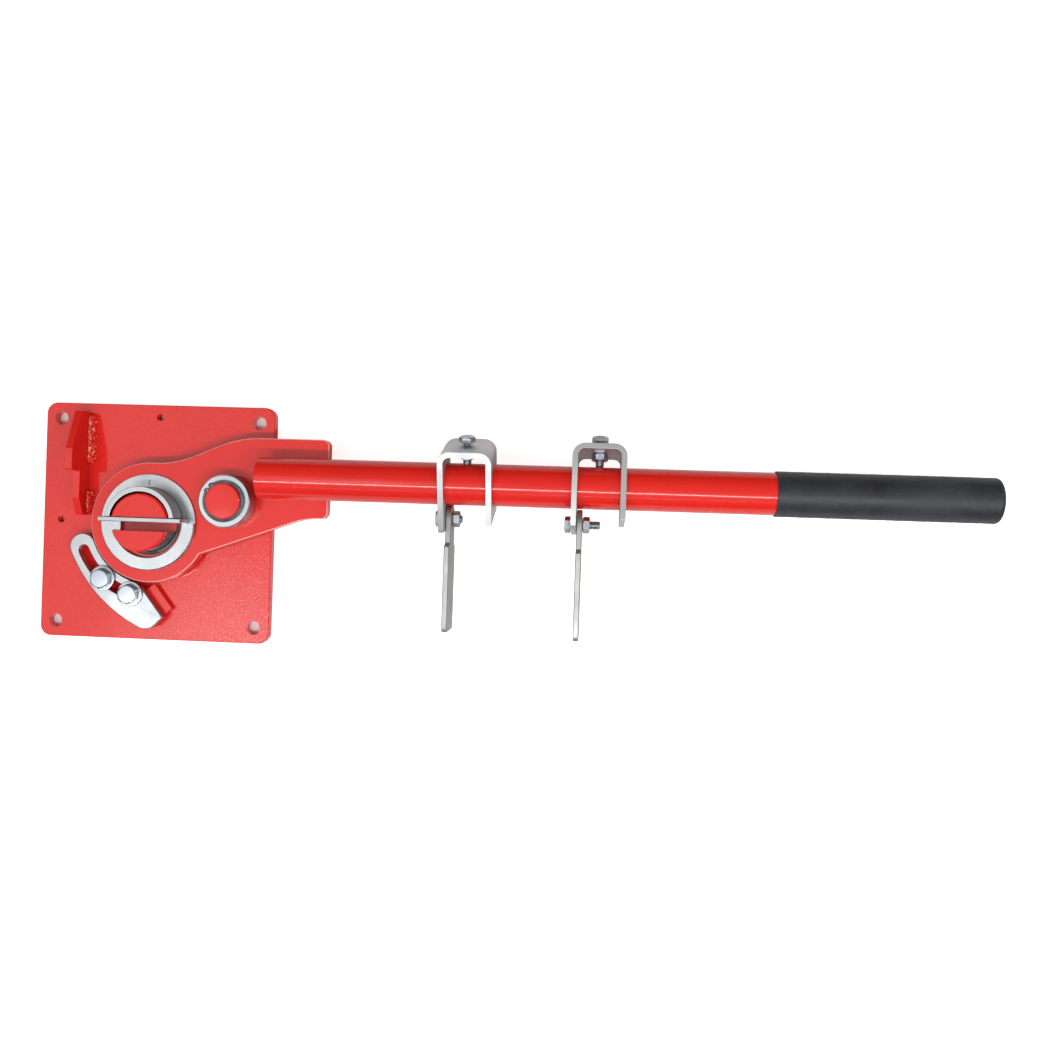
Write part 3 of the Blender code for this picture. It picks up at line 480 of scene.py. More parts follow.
def orange_peel(graph: Graph, where: Socket, scale: Socket) -> tuple[Socket, Socket]:
    """Sprayed paint: slow waves plus a finer dimple, and a mask of dust grains caught in it."""
    slow = graph.noise(where, scale, 2.0, 0.5)
    fine = graph.noise(where, graph.times(scale, 3.1), 2.0, 0.6)
    cells = graph.add("ShaderNodeTexVoronoi", {"Vector": where, "Scale": graph.times(scale, 0.9)})
    grains = graph.ramp(cells.outputs["Distance"], 0.05, 0.11, 1.0, 0.0)
    chance = graph.ramp(cells.outputs["Color"], 0.86, 0.9)
    return graph.plus(graph.times(slow, 0.65), graph.times(fine, 0.35)), graph.times(grains, chance)


def handling_wear(graph: Graph, where: Socket, scale: Socket) -> tuple[Socket, Socket]:
    """Broad uneven patches and a few fine random scratches."""
    patches = graph.ramp(graph.noise(where, scale, 5.0, 0.62), 0.35, 0.68)
    lines = []
    for turn in (0.4, 1.7, 2.6):
        bent = graph.stretched(where, (1.0, 26.0, 6.0), turn=(0.3 * turn, 0.5 * turn, turn))
        lines.append(graph.ramp(graph.noise(bent, graph.times(scale, 2.2), 2.0, 0.5), 0.70, 0.74))
    return patches, graph.maths("MAXIMUM", graph.maths("MAXIMUM", lines[0], lines[1]), lines[2])


def sawn_grain(graph: Graph, where: Socket, scale: Socket) -> tuple[Socket]:
    """Rolled or brushed steel: noise stretched along one direction, at two scales."""
    coarse = graph.noise(where, scale, 4.0, 0.65)
    fine = graph.noise(where, graph.times(scale, 3.7), 2.0, 0.7)
    return (graph.plus(graph.times(coarse, 0.6), graph.times(fine, 0.4)),)


def tool_rings(graph: Graph, where: Socket, scale: Socket) -> tuple[Socket]:
    """Marks of turning: noise read only by distance from the axis and height, so it runs in circles."""
    x, y, z = graph.parts(where)
    spot = graph.add("ShaderNodeCombineXYZ", {0: graph.from_axis(x, y), 1: z}).outputs[0]
    return (graph.noise(spot, scale, 3.0, 0.7),)


class Effects:
    """The shared node groups, each built once."""

    def __init__(self) -> None:
        """Builds the groups."""
        self.peel = effect("orange_peel", ("Height", "Dust"), orange_peel)
        self.wear = effect("handling_wear", ("Patches", "Scratches"), handling_wear)
        self.grain = effect("sawn_grain", ("Height",), sawn_grain)
        self.rings = effect("tool_rings", ("Height",), tool_rings)


def blank_material(name: str) -> tuple[Material, Graph, Node, Socket]:
    """A material with its tree, its Principled BSDF and the object's coordinates."""
    material = bpy.data.materials.new(name)
    material.use_nodes = True
    graph = Graph(material.node_tree)
    where = graph.add("ShaderNodeTexCoord").outputs["Object"]
    return material, graph, material.node_tree.nodes["Principled BSDF"], where


@dataclass(frozen=True)
class Finish:
    """A finish that is built as a material; each kind has its own shade method."""

    def build(self, name: str, effects: Effects) -> Material:
        """Builds the material.

        Args:
            name: the material's name.
            effects: the shared groups.

        Returns:
            The material.
        """
        material, graph, shader, where = blank_material(name)
        graph.fill(shader, self.shade(graph, where, effects))
        return material

    def shade(self, graph: Graph, where: Socket, effects: Effects) -> dict[str, object]:
        """Adds the finish's nodes.

        Args:
            graph: the material's tree.
            where: the object's coordinates.
            effects: the shared groups.

        Returns:
            What goes into the shader's inputs, by name.
        """
        raise NotImplementedError


@dataclass(frozen=True)
class RedEnamel(Finish):
    """Glossy red enamel, sprayed on steel."""

    colour: Colour = (0.82, 0.016, 0.009)
    deep: Colour = (0.65, 0.007, 0.004)  # its colour where the coat is thicker
    dust: Colour = (0.86, 0.12, 0.09)  # the colour of grains caught in it
    scratch: Colour = (0.9, 0.2, 0.16)
    pale: Colour = (1.0, 0.50, 0.28)  # painted glints: the colour of pale marks that stand in for light caught on the weld beads
    edge_highlight: Colour = (1.0, 0.62, 0.55)  # painted highlight: its colour along upper edges, standing in for the light that they catch
    painted_sparkle: Colour = (1.0, 0.36, 0.36)  # the pale colour of the spray grain: partly the grain itself, partly painted sparkle of light on it
    roughness: float = 0.24  # the gloss at its best
    peel_scale: float = 420.0  # waves of the sprayed surface, per metre
    peel_depth: float = 0.00011  # depth of those waves, metres
    gloss_coat: float = 0.7  # weight of the clear gloss on top
    glint_flecks: float = 0.0  # weight of the painted glints
    rim: float = 0.0  # weight of the painted highlight along upper edges
    grain: float = 0.0  # weight of the spray grain, partly painted sparkle of light on it, which is strongest at one corner of the plate
    sparkle_corner: Triple = (0.10, -0.10, 0.01)  # that corner, metres
    # metres from the Z axis past which upright walls are greased bare steel, or zero
    bare_radius: float = 0.0
    bare_top: tuple[float, float] = (0.0475, 0.0485)  # heights between which the bare steel ends, metres
    wear_scale: float = 9.0
    fleck_scale: float = 430.0
    speck_scale: float = 620.0
    smear_scale: float = 160.0  # scale of the grease on the bare walls

    def shade(self, graph: Graph, where: Socket, effects: Effects) -> dict[str, object]:
        """Adds patches, dust, scratches, and any painted glints, painted edge line, grain with painted
        sparkle or bare walls.
        """
        peel = graph.use(effects.peel, where, self.peel_scale)
        wear = graph.use(effects.wear, where, self.wear_scale)
        paint = graph.mixed(graph.ramp(wear["Patches"], 0.0, 1.0, 0.0, 0.45), self.colour, self.deep)
        paint = graph.mixed(graph.times(peel["Dust"], 0.35), paint, self.dust)
        paint = graph.mixed(graph.times(wear["Scratches"], 0.05), paint, self.scratch)
        # Painted glints: pale marks in the paint's colour stand in for light caught on the weld beads.
        if self.glint_flecks:
            painted_glints = graph.ramp(graph.noise(where, self.fleck_scale, 2.0), 0.57, 0.63, 0.0, self.glint_flecks)
            paint = graph.mixed(painted_glints, paint, self.pale)
        # Painted highlight: a paler colour on faces sloping between flat and upright stands in for light
        # caught along upper edges.
        if self.rim:
            slope = graph.upright_part()
            edge = graph.times(graph.ramp(slope, 0.15, 0.35), graph.ramp(slope, 0.93, 0.98, 1.0, 0.0))
            paint = graph.mixed(graph.times(edge, self.rim), paint, self.edge_highlight)
        # Partly real spray grain, partly painted sparkle: its pale grains, stronger towards one corner, stand
        # in for light glinting off it there.
        if self.grain:
            away = graph.add("ShaderNodeVectorMath", {0: where, 1: self.sparkle_corner}, operation="DISTANCE")
            near = graph.ramp(away.outputs["Value"], 0.02, 0.12, self.grain, 0.12 * self.grain)
            sparkle_spots = graph.ramp(graph.noise(where, self.speck_scale, 2.0, 0.6), 0.50, 0.66)
            paint = graph.mixed(graph.times(sparkle_spots, near), paint, self.painted_sparkle)
        metal: Socket | float = 0.0
        if self.bare_radius:
            metal = self.bare_walls(graph, where)
            smear = graph.noise(graph.stretched(where, (1, 1, 4)), self.smear_scale, 4.0)
            paint = graph.mixed(metal, paint, graph.mixed(smear, (0.10, 0.10, 0.11), (0.30, 0.30, 0.33)))
        gloss = graph.ramp(wear["Patches"], 0.0, 1.0, self.roughness, self.roughness + 0.09)
        height = graph.plus(peel["Height"], graph.times(peel["Dust"], 0.5))
        return {
            "Base Color": paint, "Metallic": metal, "Specular IOR Level": 0.15,
            "Roughness": graph.plus(gloss, graph.times(wear["Scratches"], 0.12)),
            "Coat Weight": self.gloss_coat, "Coat Roughness": 0.07,
            "Normal": graph.bump(height, 0.35, self.peel_depth),
        }

    def bare_walls(self, graph: Graph, where: Socket) -> Socket:
        """A mask of the upright walls past the bare radius and below the bare top."""
        x, y, z = graph.parts(where)
        upright = graph.maths("LESS_THAN", graph.maths("ABSOLUTE", graph.upright_part()), 0.3)
        outside = graph.maths("GREATER_THAN", graph.from_axis(x, y), self.bare_radius)
        return graph.times(graph.times(upright, outside), graph.ramp(z, *self.bare_top, 1.0, 0.0))


class Marks(Enum):
    """The marks that a zinc-plated piece keeps from its making."""

    SAWN = "sawn"
    TURNED = "turned"
    FORGED = "forged"


@dataclass(frozen=True)
class ZincPlate(Finish):
    """Zinc-plated steel with the marks of its making under the plating."""

    colour: Colour = (0.52, 0.54, 0.55)
    tint: Colour = (0.42, 0.45, 0.48)  # a second, cooler or warmer colour in patches
    groove: Colour = (0.42, 0.43, 0.44)  # the colour in the marks
    roughness: float = 0.36
    marks: Marks = Marks.SAWN  # how the steel was worked
    centre: Triple = (0.0, 0.0, 0.0)  # a point of the turning axis, metres
    stretch: Triple = (1.0, 9.0, 1.0)  # how the sawn grain is stretched
    depth: float = 0.00003  # the marks' depth, metres
    wear_scale: float = 22.0
    ring_scale: float = 1400.0
    sawn_scale: float = 130.0
    forged_scale: float = 420.0

    def shade(self, graph: Graph, where: Socket, effects: Effects) -> dict[str, object]:
        """Adds patches of tint, scratches and the marks of making."""
        wear = graph.use(effects.wear, where, self.wear_scale)
        if self.marks is Marks.TURNED:
            away = tuple(-value for value in self.centre)
            moved = graph.stretched(where, place=away)
            height = graph.use(effects.rings, moved, self.ring_scale)["Height"]
        elif self.marks is Marks.SAWN:
            drawn = graph.stretched(where, self.stretch)
            height = graph.use(effects.grain, drawn, self.sawn_scale)["Height"]
        else:
            height = graph.use(effects.grain, where, self.forged_scale)["Height"]
        zinc = graph.mixed(graph.ramp(wear["Patches"], 0.0, 1.0, 0.0, 0.8), self.colour, self.tint)
        gloss = graph.ramp(wear["Patches"], 0.0, 1.0, self.roughness - 0.05, self.roughness + 0.1)
        raised = graph.plus(height, graph.times(wear["Scratches"], -0.4))
        return {
            "Base Color": graph.mixed(graph.ramp(height, 0.35, 0.65, 0.0, 0.30), zinc, self.groove),
            "Metallic": 1.0,
            "Roughness": graph.plus(gloss, graph.ramp(height, 0.3, 0.7, -0.04, 0.08)),
            "Normal": graph.bump(raised, 0.5, self.depth),
        }


@dataclass(frozen=True)
class OiledBronze(Finish):
    """Bearing bronze with a film of dark oil."""

    colour: Colour = (0.10, 0.09, 0.09)  # the metal under a thin film
    oiled: Colour = (0.030, 0.031, 0.036)  # the metal under a thick one
    wear_scale: float = 60.0
    ring_scale: float = 1500.0
    depth: float = 0.00003  # the marks' depth, metres

    def shade(self, graph: Graph, where: Socket, effects: Effects) -> dict[str, object]:
        """Adds patches of oil over marks of turning."""
        patches = graph.use(effects.wear, where, self.wear_scale)["Patches"]
        rings = graph.use(effects.rings, where, self.ring_scale)["Height"]
        return {
            "Base Color": graph.mixed(patches, self.colour, self.oiled), "Metallic": 1.0,
            "Roughness": graph.ramp(patches, 0.0, 1.0, 0.45, 0.18),
            "Normal": graph.bump(rings, 0.4, self.depth),
        }


@dataclass(frozen=True)
class DippedGrip(Finish):
    """Matt black vinyl, dipped over the tube, with a soft dusty bloom."""

    colour: Colour = (0.009, 0.010, 0.013)
    bloom: Colour = (0.036, 0.042, 0.053)  # its colour where it is rubbed and dusty
    scuff: Colour = (0.11, 0.12, 0.13)
    wear_scale: float = 16.0
    skin_scale: float = 900.0
    flow_scale: float = 70.0
    depth: float = 0.0002  # the skin's depth, metres

    def shade(self, graph: Graph, where: Socket, effects: Effects) -> dict[str, object]:
        """Adds bloom, scuffs and the flow lines of dipping."""
        wear = graph.use(effects.wear, where, self.wear_scale)
        skin = graph.use(effects.peel, where, self.skin_scale)["Height"]
        flow = graph.noise(graph.stretched(where, (0.35, 1.0, 1.0)), self.flow_scale)
        vinyl = graph.mixed(graph.ramp(wear["Patches"], 0.0, 1.0, 0.15, 0.9), self.colour, self.bloom)
        return {
            "Base Color": graph.mixed(graph.times(wear["Scratches"], 0.35), vinyl, self.scuff),
            "Roughness": graph.ramp(wear["Patches"], 0.0, 1.0, 0.42, 0.6),
            "Normal": graph.bump(graph.plus(graph.times(skin, 0.4), flow), 0.4, self.depth),
        }


@dataclass(frozen=True)
class BlackSpringSteel(Finish):
    """Phosphated spring steel, oiled, rubbed bright in places."""

    colour: Colour = (0.035, 0.036, 0.045)
    rubbed: Colour = (0.30, 0.31, 0.34)  # where it is rubbed through
    wear_scale: float = 90.0
    grain_scale: float = 700.0
    depth: float = 0.00004  # the grain's depth, metres

    def shade(self, graph: Graph, where: Socket, effects: Effects) -> dict[str, object]:
        """Adds rubbed patches over a fine grain."""
        worn = graph.times(graph.use(effects.wear, where, self.wear_scale)["Patches"], 0.35)
        grain = graph.use(effects.grain, where, self.grain_scale)["Height"]
        return {
            "Base Color": graph.mixed(worn, self.colour, self.rubbed), "Metallic": 0.85,
            "Roughness": graph.ramp(grain, 0.3, 0.7, 0.28, 0.45),
            "Normal": graph.bump(grain, 0.4, self.depth),
        }


class Finishes:
    """Every material of the bender, built once."""

    def __init__(self) -> None:
        """Builds the shared groups and the materials."""
        make = Effects()
        self.paint = RedEnamel().build("red_enamel", make)
        # The head's paint has a painted highlight along its upper edges.
        self.head_paint = RedEnamel(rim=0.7).build("red_enamel_head", make)
        # The plate's paint has painted sparkle on its spray grain, strongest at one corner.
        self.plate_paint = RedEnamel(
            peel_scale=260.0, peel_depth=0.0013, gloss_coat=0.85, roughness=0.27, grain=0.44,
        ).build("red_enamel_plate", make)
        self.tube_paint = RedEnamel(peel_depth=0.000008, gloss_coat=0.65).build("red_enamel_tube", make)
        self.post_paint = RedEnamel(bare_radius=0.0262).build("red_enamel_post", make)
        # The weld paint has painted glints: pale marks that stand in for light caught on the beads.
        self.weld_paint = RedEnamel(
            roughness=0.16, peel_scale=700.0, peel_depth=0.0004, gloss_coat=1.0, glint_flecks=0.75,
        ).build("red_enamel_weld", make)
        self.sawn = ZincPlate().build("zinc_sawn", make)
        self.turned = ZincPlate(marks=Marks.TURNED, roughness=0.27).build("zinc_turned", make)
        self.roller = ZincPlate(
            marks=Marks.TURNED, roughness=0.25, centre=(0.078, 0.0222, 0.0),
        ).build("zinc_roller", make)
        self.strap = ZincPlate(
            colour=(0.68, 0.68, 0.67), tint=(0.57, 0.58, 0.59), roughness=0.45, stretch=(9.0, 1.0, 1.0),
            depth=0.000012,
        ).build("zinc_strap", make)
        self.finger = ZincPlate(
            roughness=0.5, colour=(0.45, 0.45, 0.43), tint=(0.38, 0.39, 0.39), depth=0.000015,
        ).build("zinc_finger", make)
        self.fastener = ZincPlate(
            colour=(0.50, 0.54, 0.59), tint=(0.40, 0.44, 0.51), roughness=0.28, marks=Marks.FORGED,
            depth=0.000005,
        ).build("zinc_fastener", make)
        self.bronze = OiledBronze().build("oiled_bronze", make)
        self.grip = DippedGrip().build("dipped_grip", make)
        self.spring = BlackSpringSteel().build("black_spring_steel", make)


# The sub-assemblies


@dataclass(frozen=True)
class Hardware:
    """The sizes of a bolt and its nut."""

    flats: float  # width across flats
    head: float  # the bolt head's height
    radius: float  # the thread's outer radius
    pitch: float
    nut: float = 0.0  # the nut's height, or zero where none is used


M8 = Hardware(flats=13.0, head=5.3, radius=4.0, pitch=1.25, nut=6.5)
M10 = Hardware(flats=17.0, head=6.4, radius=5.0, pitch=1.5)


@dataclass
class HexFastener:
    """A hex bolt or nut, with its threads."""

    node: str  # the solid that it stands for
    body: Body
    axis: Array  # from the bearing side out through the head or nut
    size: Hardware
    nut: bool = False
    tuck: float = 0.4  # how far a bolt's shank reaches into its head
    bore_share: float = 0.98  # a nut's bore over the thread's radius

    def reach(self) -> tuple[float, float, Array]:
        """The solid's lowest and highest reach along the axis, and the axis point at zero reach."""
        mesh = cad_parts[self.node].data
        points = np.zeros(len(mesh.vertices) * 3)
        mesh.vertices.foreach_get("co", points)
        turn = basis(self.axis)
        local = points.reshape(-1, 3) / MM @ turn.T
        low, high = local.min(0), local.max(0)
        return float(low[2]), float(high[2]), (low + high) / 2 * (1, 1, 0) @ turn

    def build(self, finishes: Finishes) -> None:
        """Builds the fastener over its solid: the head or nut, and a bolt's threaded shank."""
        low, high, middle = self.reach()
        size = self.size
        height = size.nut if self.nut else size.head
        seat = high - height
        bore = size.radius * self.bore_share if self.nut else 0.0
        grids = [hexagonal(size.flats, height, bore, self.nut)]
        if not self.nut:
            shank = threaded(size.radius, size.pitch, low - seat, self.tuck)[:, ::-1]
            shank[..., 2] = low - seat + self.tuck - shank[..., 2]
            grids.append(shank)
        shapes = [placed(grid, self.axis, middle + basis(self.axis)[2] * seat) for grid in grids]
        piece = surface(f"{self.node}_finished", shapes, closed_rows=self.nut)
        finished(piece, self.body, Slot.BRIGHT, finishes.fastener, self.node)


@dataclass
class WeldBead:
    """A fillet weld laid along X or Y, with the ripples that the weaving leaves."""

    node: str  # the solid that it stands for
    body: Body
    along: Axis
    inner: Array  # the bead's root line in the section, from one toe to the other, (across, up)
    ripple: float  # height of the ripples
    swell: float  # how far the face stands out of a straight throat
    pitch: float = 1.7  # distance between ripples
    inset: float = 0.2  # how far each end stays inside the solid
    steps: int = 6  # rows of points in each ripple
    columns: int = 15  # points across the face
    crescent: float = 0.55  # how far the ripples bend, over their pitch
    wander: Waves = ((0.18, 0.9, 1.3), (0.12, 2.3, 0.0))  # the slow waves of the face
    end_power: int = 24  # how late the ends draw in

    def build(self, finishes: Finishes) -> None:
        """Builds the bead: the face is the straight throat plus a swell and a crescent ripple.

        The swell goes by the sine of the way across and wanders slowly along the bead. The ripples
        go by the root of that sine and are a cosine of the way along. A high power draws the ends in.

        Args:
            finishes: the bender's materials.
        """
        low, high = extent(self.node)
        run = 0 if self.along is Axis.X else 1
        start, end = low[run] + self.inset, high[run] - self.inset
        rows = int((end - start) / self.pitch * self.steps)
        travel = np.linspace(0, 1, rows)[:, None]
        across = np.linspace(0, 1, self.columns)[None, :]
        root = np.asarray(self.inner, float)
        chord = root[-1] - root[0]
        out = np.array([chord[1], -chord[0]]) / np.linalg.norm(chord)
        if np.dot(out, root[len(root) // 2] - (root[0] + root[-1]) / 2) > 0:
            out = -out
        length = travel * (end - start)
        ripples = np.cos(math.tau * (length / self.pitch + self.crescent * (2 * across - 1) ** 2))
        arch = np.sin(math.pi * across)
        swell = arch * (self.swell + waves(length, self.wander))
        face = np.maximum(swell + self.ripple * 0.5 * ripples * arch**0.5, 0)
        taper = np.sqrt(np.clip(1 - (2 * np.abs(travel - 0.5)) ** self.end_power, 0, 1))
        front = root[0] + across[..., None] * chord + (face[..., None] * out)
        back = root[::-1][1:-1]
        section = np.concatenate([front, np.broadcast_to(back, (rows, len(back), 2))], axis=1)
        heart = section.mean(axis=1, keepdims=True)
        section = heart + (section - heart) * taper[..., None]
        line = np.broadcast_to(start + length, section.shape[:2])
        grid = np.insert(section, run, line, axis=-1)
        shelled(self.node, grid, self.body, Slot.PAINT, finishes.weld_paint, ring=False)


@dataclass
class Base:
    """The base plate and everything fixed to it but the former and the stop."""

    post_radius: float = 27.0
    thread_pitch: float = 1.25
    thread_radius: float = 3.12  # radius of the thread's middle line
    # half width and half height of the thread's section
    thread_section: tuple[float, float] = (0.24, 0.45)
    thread_inset: float = 1.2  # how far the thread starts inside each face
    thread_steps: int = 32  # points of the thread in each turn
    # name and centre of each hole's thread
    holes: tuple = (("rear_hole_thread", (0.0, 100.5)), ("side_hole_thread", (-95.0, 0.0)))

    def build(self, finishes: Finishes) -> None:
        """Builds the plate, post, washer, bracket, its welds and the threads of the tapped holes."""
        plated("base_plate", 0.5, Body.BASE, Slot.PAINT, finishes.plate_paint)
        plated("center_post", 0.5, Body.BASE, Slot.PAINT, finishes.post_paint)
        plated("back_bracket", 0.45, Body.BASE, Slot.PAINT, finishes.paint)
        low, high = extent("thrust_washer")
        profile = ring_profile(self.post_radius + GAP, high[0], low[2], high[2], 0.4)
        shelled("thrust_washer", turned(profile), Body.BASE, Slot.BRONZE, finishes.bronze)
        for side, facing in (("inner", 1), ("outer", -1)):
            for place in ("rear", "front"):
                self.bracket_weld(f"bracket_weld_{side}_{place}", facing, finishes)
        for name, centre in self.holes:
            self.hole_thread(name, centre, finishes)

    def bracket_weld(self, node: str, facing: int, finishes: Finishes) -> None:
        """Builds one bead at the bracket's foot: facing is 1 on the post's side, -1 on the outer."""
        low, high = extent(node)
        wall = low[0] if facing > 0 else high[0]
        leg = high[0] - low[0]
        root = np.array([(wall + facing * leg, low[2]), (wall, low[2]), (wall, high[2])])
        WeldBead(node, Body.BASE, Axis.Y, root, ripple=0.5, swell=0.75).build(finishes)

    def hole_thread(self, name: str, centre: tuple[float, float], finishes: Finishes) -> None:
        """Builds the thread inside a tapped hole: a coil of small section that climbs a pitch a turn.

        Args:
            name: the piece's name.
            centre: the hole's centre.
            finishes: the bender's materials.
        """
        low, high = extent("base_plate")
        turns = (high[2] - low[2] - 2 * self.thread_inset) / self.thread_pitch
        step = np.linspace(0, turns, int(turns * self.thread_steps))[:, None]
        sides = 6
        around = round_angles(sides)[None, :]
        wide, tall = self.thread_section
        radius = self.thread_radius + wide * np.cos(around)
        height = low[2] + self.thread_inset + step * self.thread_pitch + tall * np.sin(around)
        coil = polar(radius, math.tau * step, height) + (*centre, 0)
        start, end = (ring.mean(axis=1, keepdims=True).repeat(sides, 1) for ring in (coil[:1], coil[-1:]))
        piece = surface(name, [np.concatenate([start, coil, end])])
        finished(piece, Body.BASE, Slot.PAINT, finishes.weld_paint)


@dataclass
class Former:
    """The removable former: ring, half sleeve and cross plate."""

    mark_radius: float = 35.0  # where the index mark on the ring starts
    mark_length: float = 4.5  # how far it runs outwards
    mark_width: float = 1.1
    mark_height: float = 0.9
    mark_lift: float = 0.02  # its foot's height over the ring

    def build(self, finishes: Finishes) -> None:
        """Builds the three pieces and the ring's index mark."""
        plated("former_ring", 0.3, Body.BASE, Slot.SATIN, finishes.turned)
        plated("former_half_sleeve", 0.5, Body.BASE, Slot.SATIN, finishes.turned)
        plated("former_cross_plate", 0.5, Body.BASE, Slot.SATIN, finishes.sawn)
        self.index_mark(finishes)

    def index_mark(self, finishes: Finishes) -> None:
        """Builds the mark: a low ridge whose height is a smooth hump across and along."""
        foot = extent("former_cross_plate")[0][2] - GAP + self.mark_lift
        along = np.linspace(-1, 1, 24)[:, None]
        across = np.linspace(-1, 1, 12)[None, :]
        hump = np.sqrt(np.clip(1 - along**6, 0, 1)) * np.sqrt(np.clip(1 - across**4, 0, 1))
        top = np.stack([
            np.broadcast_to(across * self.mark_width / 2, hump.shape),
            np.broadcast_to(self.mark_radius + (along + 1) / 2 * self.mark_length, hump.shape),
            foot + self.mark_height * hump,
        ], axis=-1)
        under = top[:, ::-1] * (1, 1, 0) + (0, 0, foot)
        ridge = np.concatenate([top, under], axis=1)
        start, end = (row * (1, 1, 0) + (0, 0, foot) for row in (ridge[:1], ridge[-1:]))
        piece = surface("former_index_mark", [np.concatenate([start, ridge, end])])
        finished(piece, Body.BASE, Slot.SATIN, finishes.turned)


@dataclass
class AngleStop:
    """The slotted stop plate with its boss, block, bolts and washers."""

    washer_bore: float = 5.3  # the washers' inner radius

    def build(self, finishes: Finishes) -> None:
        """Builds the stop and what holds it."""
        plated("stop_plate", 0.35, Body.STOP, Slot.SATIN, finishes.sawn)
        plated("stop_boss", 0.3, Body.BASE, Slot.PAINT, finishes.paint)
        plated("stop_block", 0.4, Body.BASE, Slot.PAINT, finishes.paint)
        for number in (1, 2):
            HexFastener(f"stop_bolt_{number}", Body.BASE, np.array(Axis.Z.value), M10).build(finishes)
            node = f"stop_washer_{number}"
            low, high = extent(node)
            profile = ring_profile(self.washer_bore, (high[0] - low[0]) / 2, low[2], high[2], 0.5)
            shelled(node, turned(profile) + upright_centre(node), Body.BASE, Slot.BRIGHT, finishes.fastener)


@dataclass
class Lever:
    """The lever: head plate, bush, tube, welds, grip, roller pin and snap ring."""

    tube_radius: float = 19.0
    tube_wall: float = 2.5
    grip_wall: float = 1.0
    grip_end: float = 4.0  # thickness of the grip's closed end
    grip_rounding: float = 4.5  # radius round the closed end's rim
    skin_waves: Waves = ((0.05, 0.31, 0.0), (0.04, 0.83, 1.0))  # the slow waves of the grip's skin
    skin_rows: int = 160  # rows of points along the grip
    pin_step: float = 1.0  # depth of the pin's groove and of its chamfer
    weld_low: float = -72.0  # angle round the tube where a weld's root starts
    weld_high: float = -42.0  # angle where it ends

    def build(self, finishes: Finishes) -> None:
        """Builds every piece of the lever."""
        plated("head_plate", 0.8, Body.LEVER, Slot.PAINT, finishes.head_paint)
        plated("pivot_bush", 0.3, Body.LEVER, Slot.BRONZE, finishes.bronze)
        self.tube(finishes)
        self.grip(finishes)
        self.pin(finishes)
        plated("snap_ring", 0.2, Body.LEVER, Slot.SPRING, finishes.spring)
        for side, name in ((1, "upper"), (-1, "lower")):
            self.tube_weld(f"tube_weld_{name}", side, finishes)

    def axis_place(self) -> tuple[float, float]:
        """The tube axis's Y and Z."""
        low, high = extent("handle_tube")
        return (low[1] + high[1]) / 2, (low[2] + high[2]) / 2

    def tube(self, finishes: Finishes) -> None:
        """Builds the tube: a closed wall profile turned about X."""
        low, high = extent("handle_tube")
        bore = self.tube_radius - self.tube_wall
        profile = ring_profile(bore, self.tube_radius, 0, high[0] - low[0], 0.5)
        grid = placed(turned(profile, columns=128), Axis.X.value, (low[0], *self.axis_place()))
        shelled("handle_tube", grid, Body.LEVER, Slot.PAINT, finishes.tube_paint)

    def grip(self, finishes: Finishes) -> None:
        """Builds the grip: a sleeve with a domed end, a rolled lip and the slow waves of a dipped skin."""
        low, high = extent("grip")
        outer = (high[1] - low[1]) / 2
        inner = outer - self.grip_wall
        length = high[0] - low[0]
        bend = self.grip_rounding
        floor = length - self.grip_end
        skin = np.linspace(1.2, length - bend - 0.5, self.skin_rows)
        turn = np.linspace(0, math.pi / 2, 16)
        spread = np.linspace(outer - bend - 1, 0, 12)
        profile = np.concatenate([
            [(inner, 0.2), (inner + 0.3, 0.0), (outer - 0.35, 0.0), (outer - 0.05, 0.35)],
            np.stack([outer - 0.09 + waves(skin, self.skin_waves), skin], axis=-1),
            (outer - bend, length - bend - 0.4)
            + np.stack([(bend - 0.1) * np.cos(turn), (bend - 0.4) * np.sin(turn)], axis=-1),
            np.stack([spread, length - 0.8 + 0.8 * np.sqrt(np.linspace(0.05, 1, 12))], axis=-1),
            [(0, floor), (inner - 0.4, floor), (inner, floor - 0.4)],
        ])
        grid = placed(turned(profile), Axis.X.value, (low[0], *self.axis_place()))
        shelled("grip", grid, Body.LEVER, Slot.GRIP, finishes.grip)

    def pin(self, finishes: Finishes) -> None:
        """Builds the roller's pin with its groove."""
        low, high = extent("roller_pin")
        ring_low, ring_high = extent("snap_ring")
        radius = (high[0] - low[0]) / 2
        core = radius - self.pin_step
        foot, top = ring_low[2] - GAP, ring_high[2] + GAP
        profile = [
            (0, low[2]), (radius, low[2]), (radius, foot), (core, foot), (core, top), (radius, top),
            (radius, high[2] - self.pin_step), (core, high[2]), (0, high[2]),
        ]
        grid = turned(softened(profile, 0.3, False)) + upright_centre("roller_pin")
        shelled("roller_pin", grid, Body.LEVER, Slot.PAINT, finishes.paint, ring=False)

    def tube_weld(self, node: str, side: int, finishes: Finishes) -> None:
        """Builds a bead between the tube and the head plate: side is 1 on +Y, -1 on -Y."""
        low, high = extent(node)
        y, z = self.axis_place()
        angle = np.radians(np.linspace(self.weld_low, self.weld_high, 8))
        radius = self.tube_radius + GAP
        hug = np.stack([y + side * radius * np.cos(angle), z + radius * np.sin(angle)], axis=-1)
        toe = np.array([[high[1] if side > 0 else low[1], low[2]], [hug[0, 0], low[2]]])
        root = np.concatenate([toe, hug])
        WeldBead(node, Body.LEVER, Axis.X, root, ripple=0.4, swell=0.2).build(finishes)


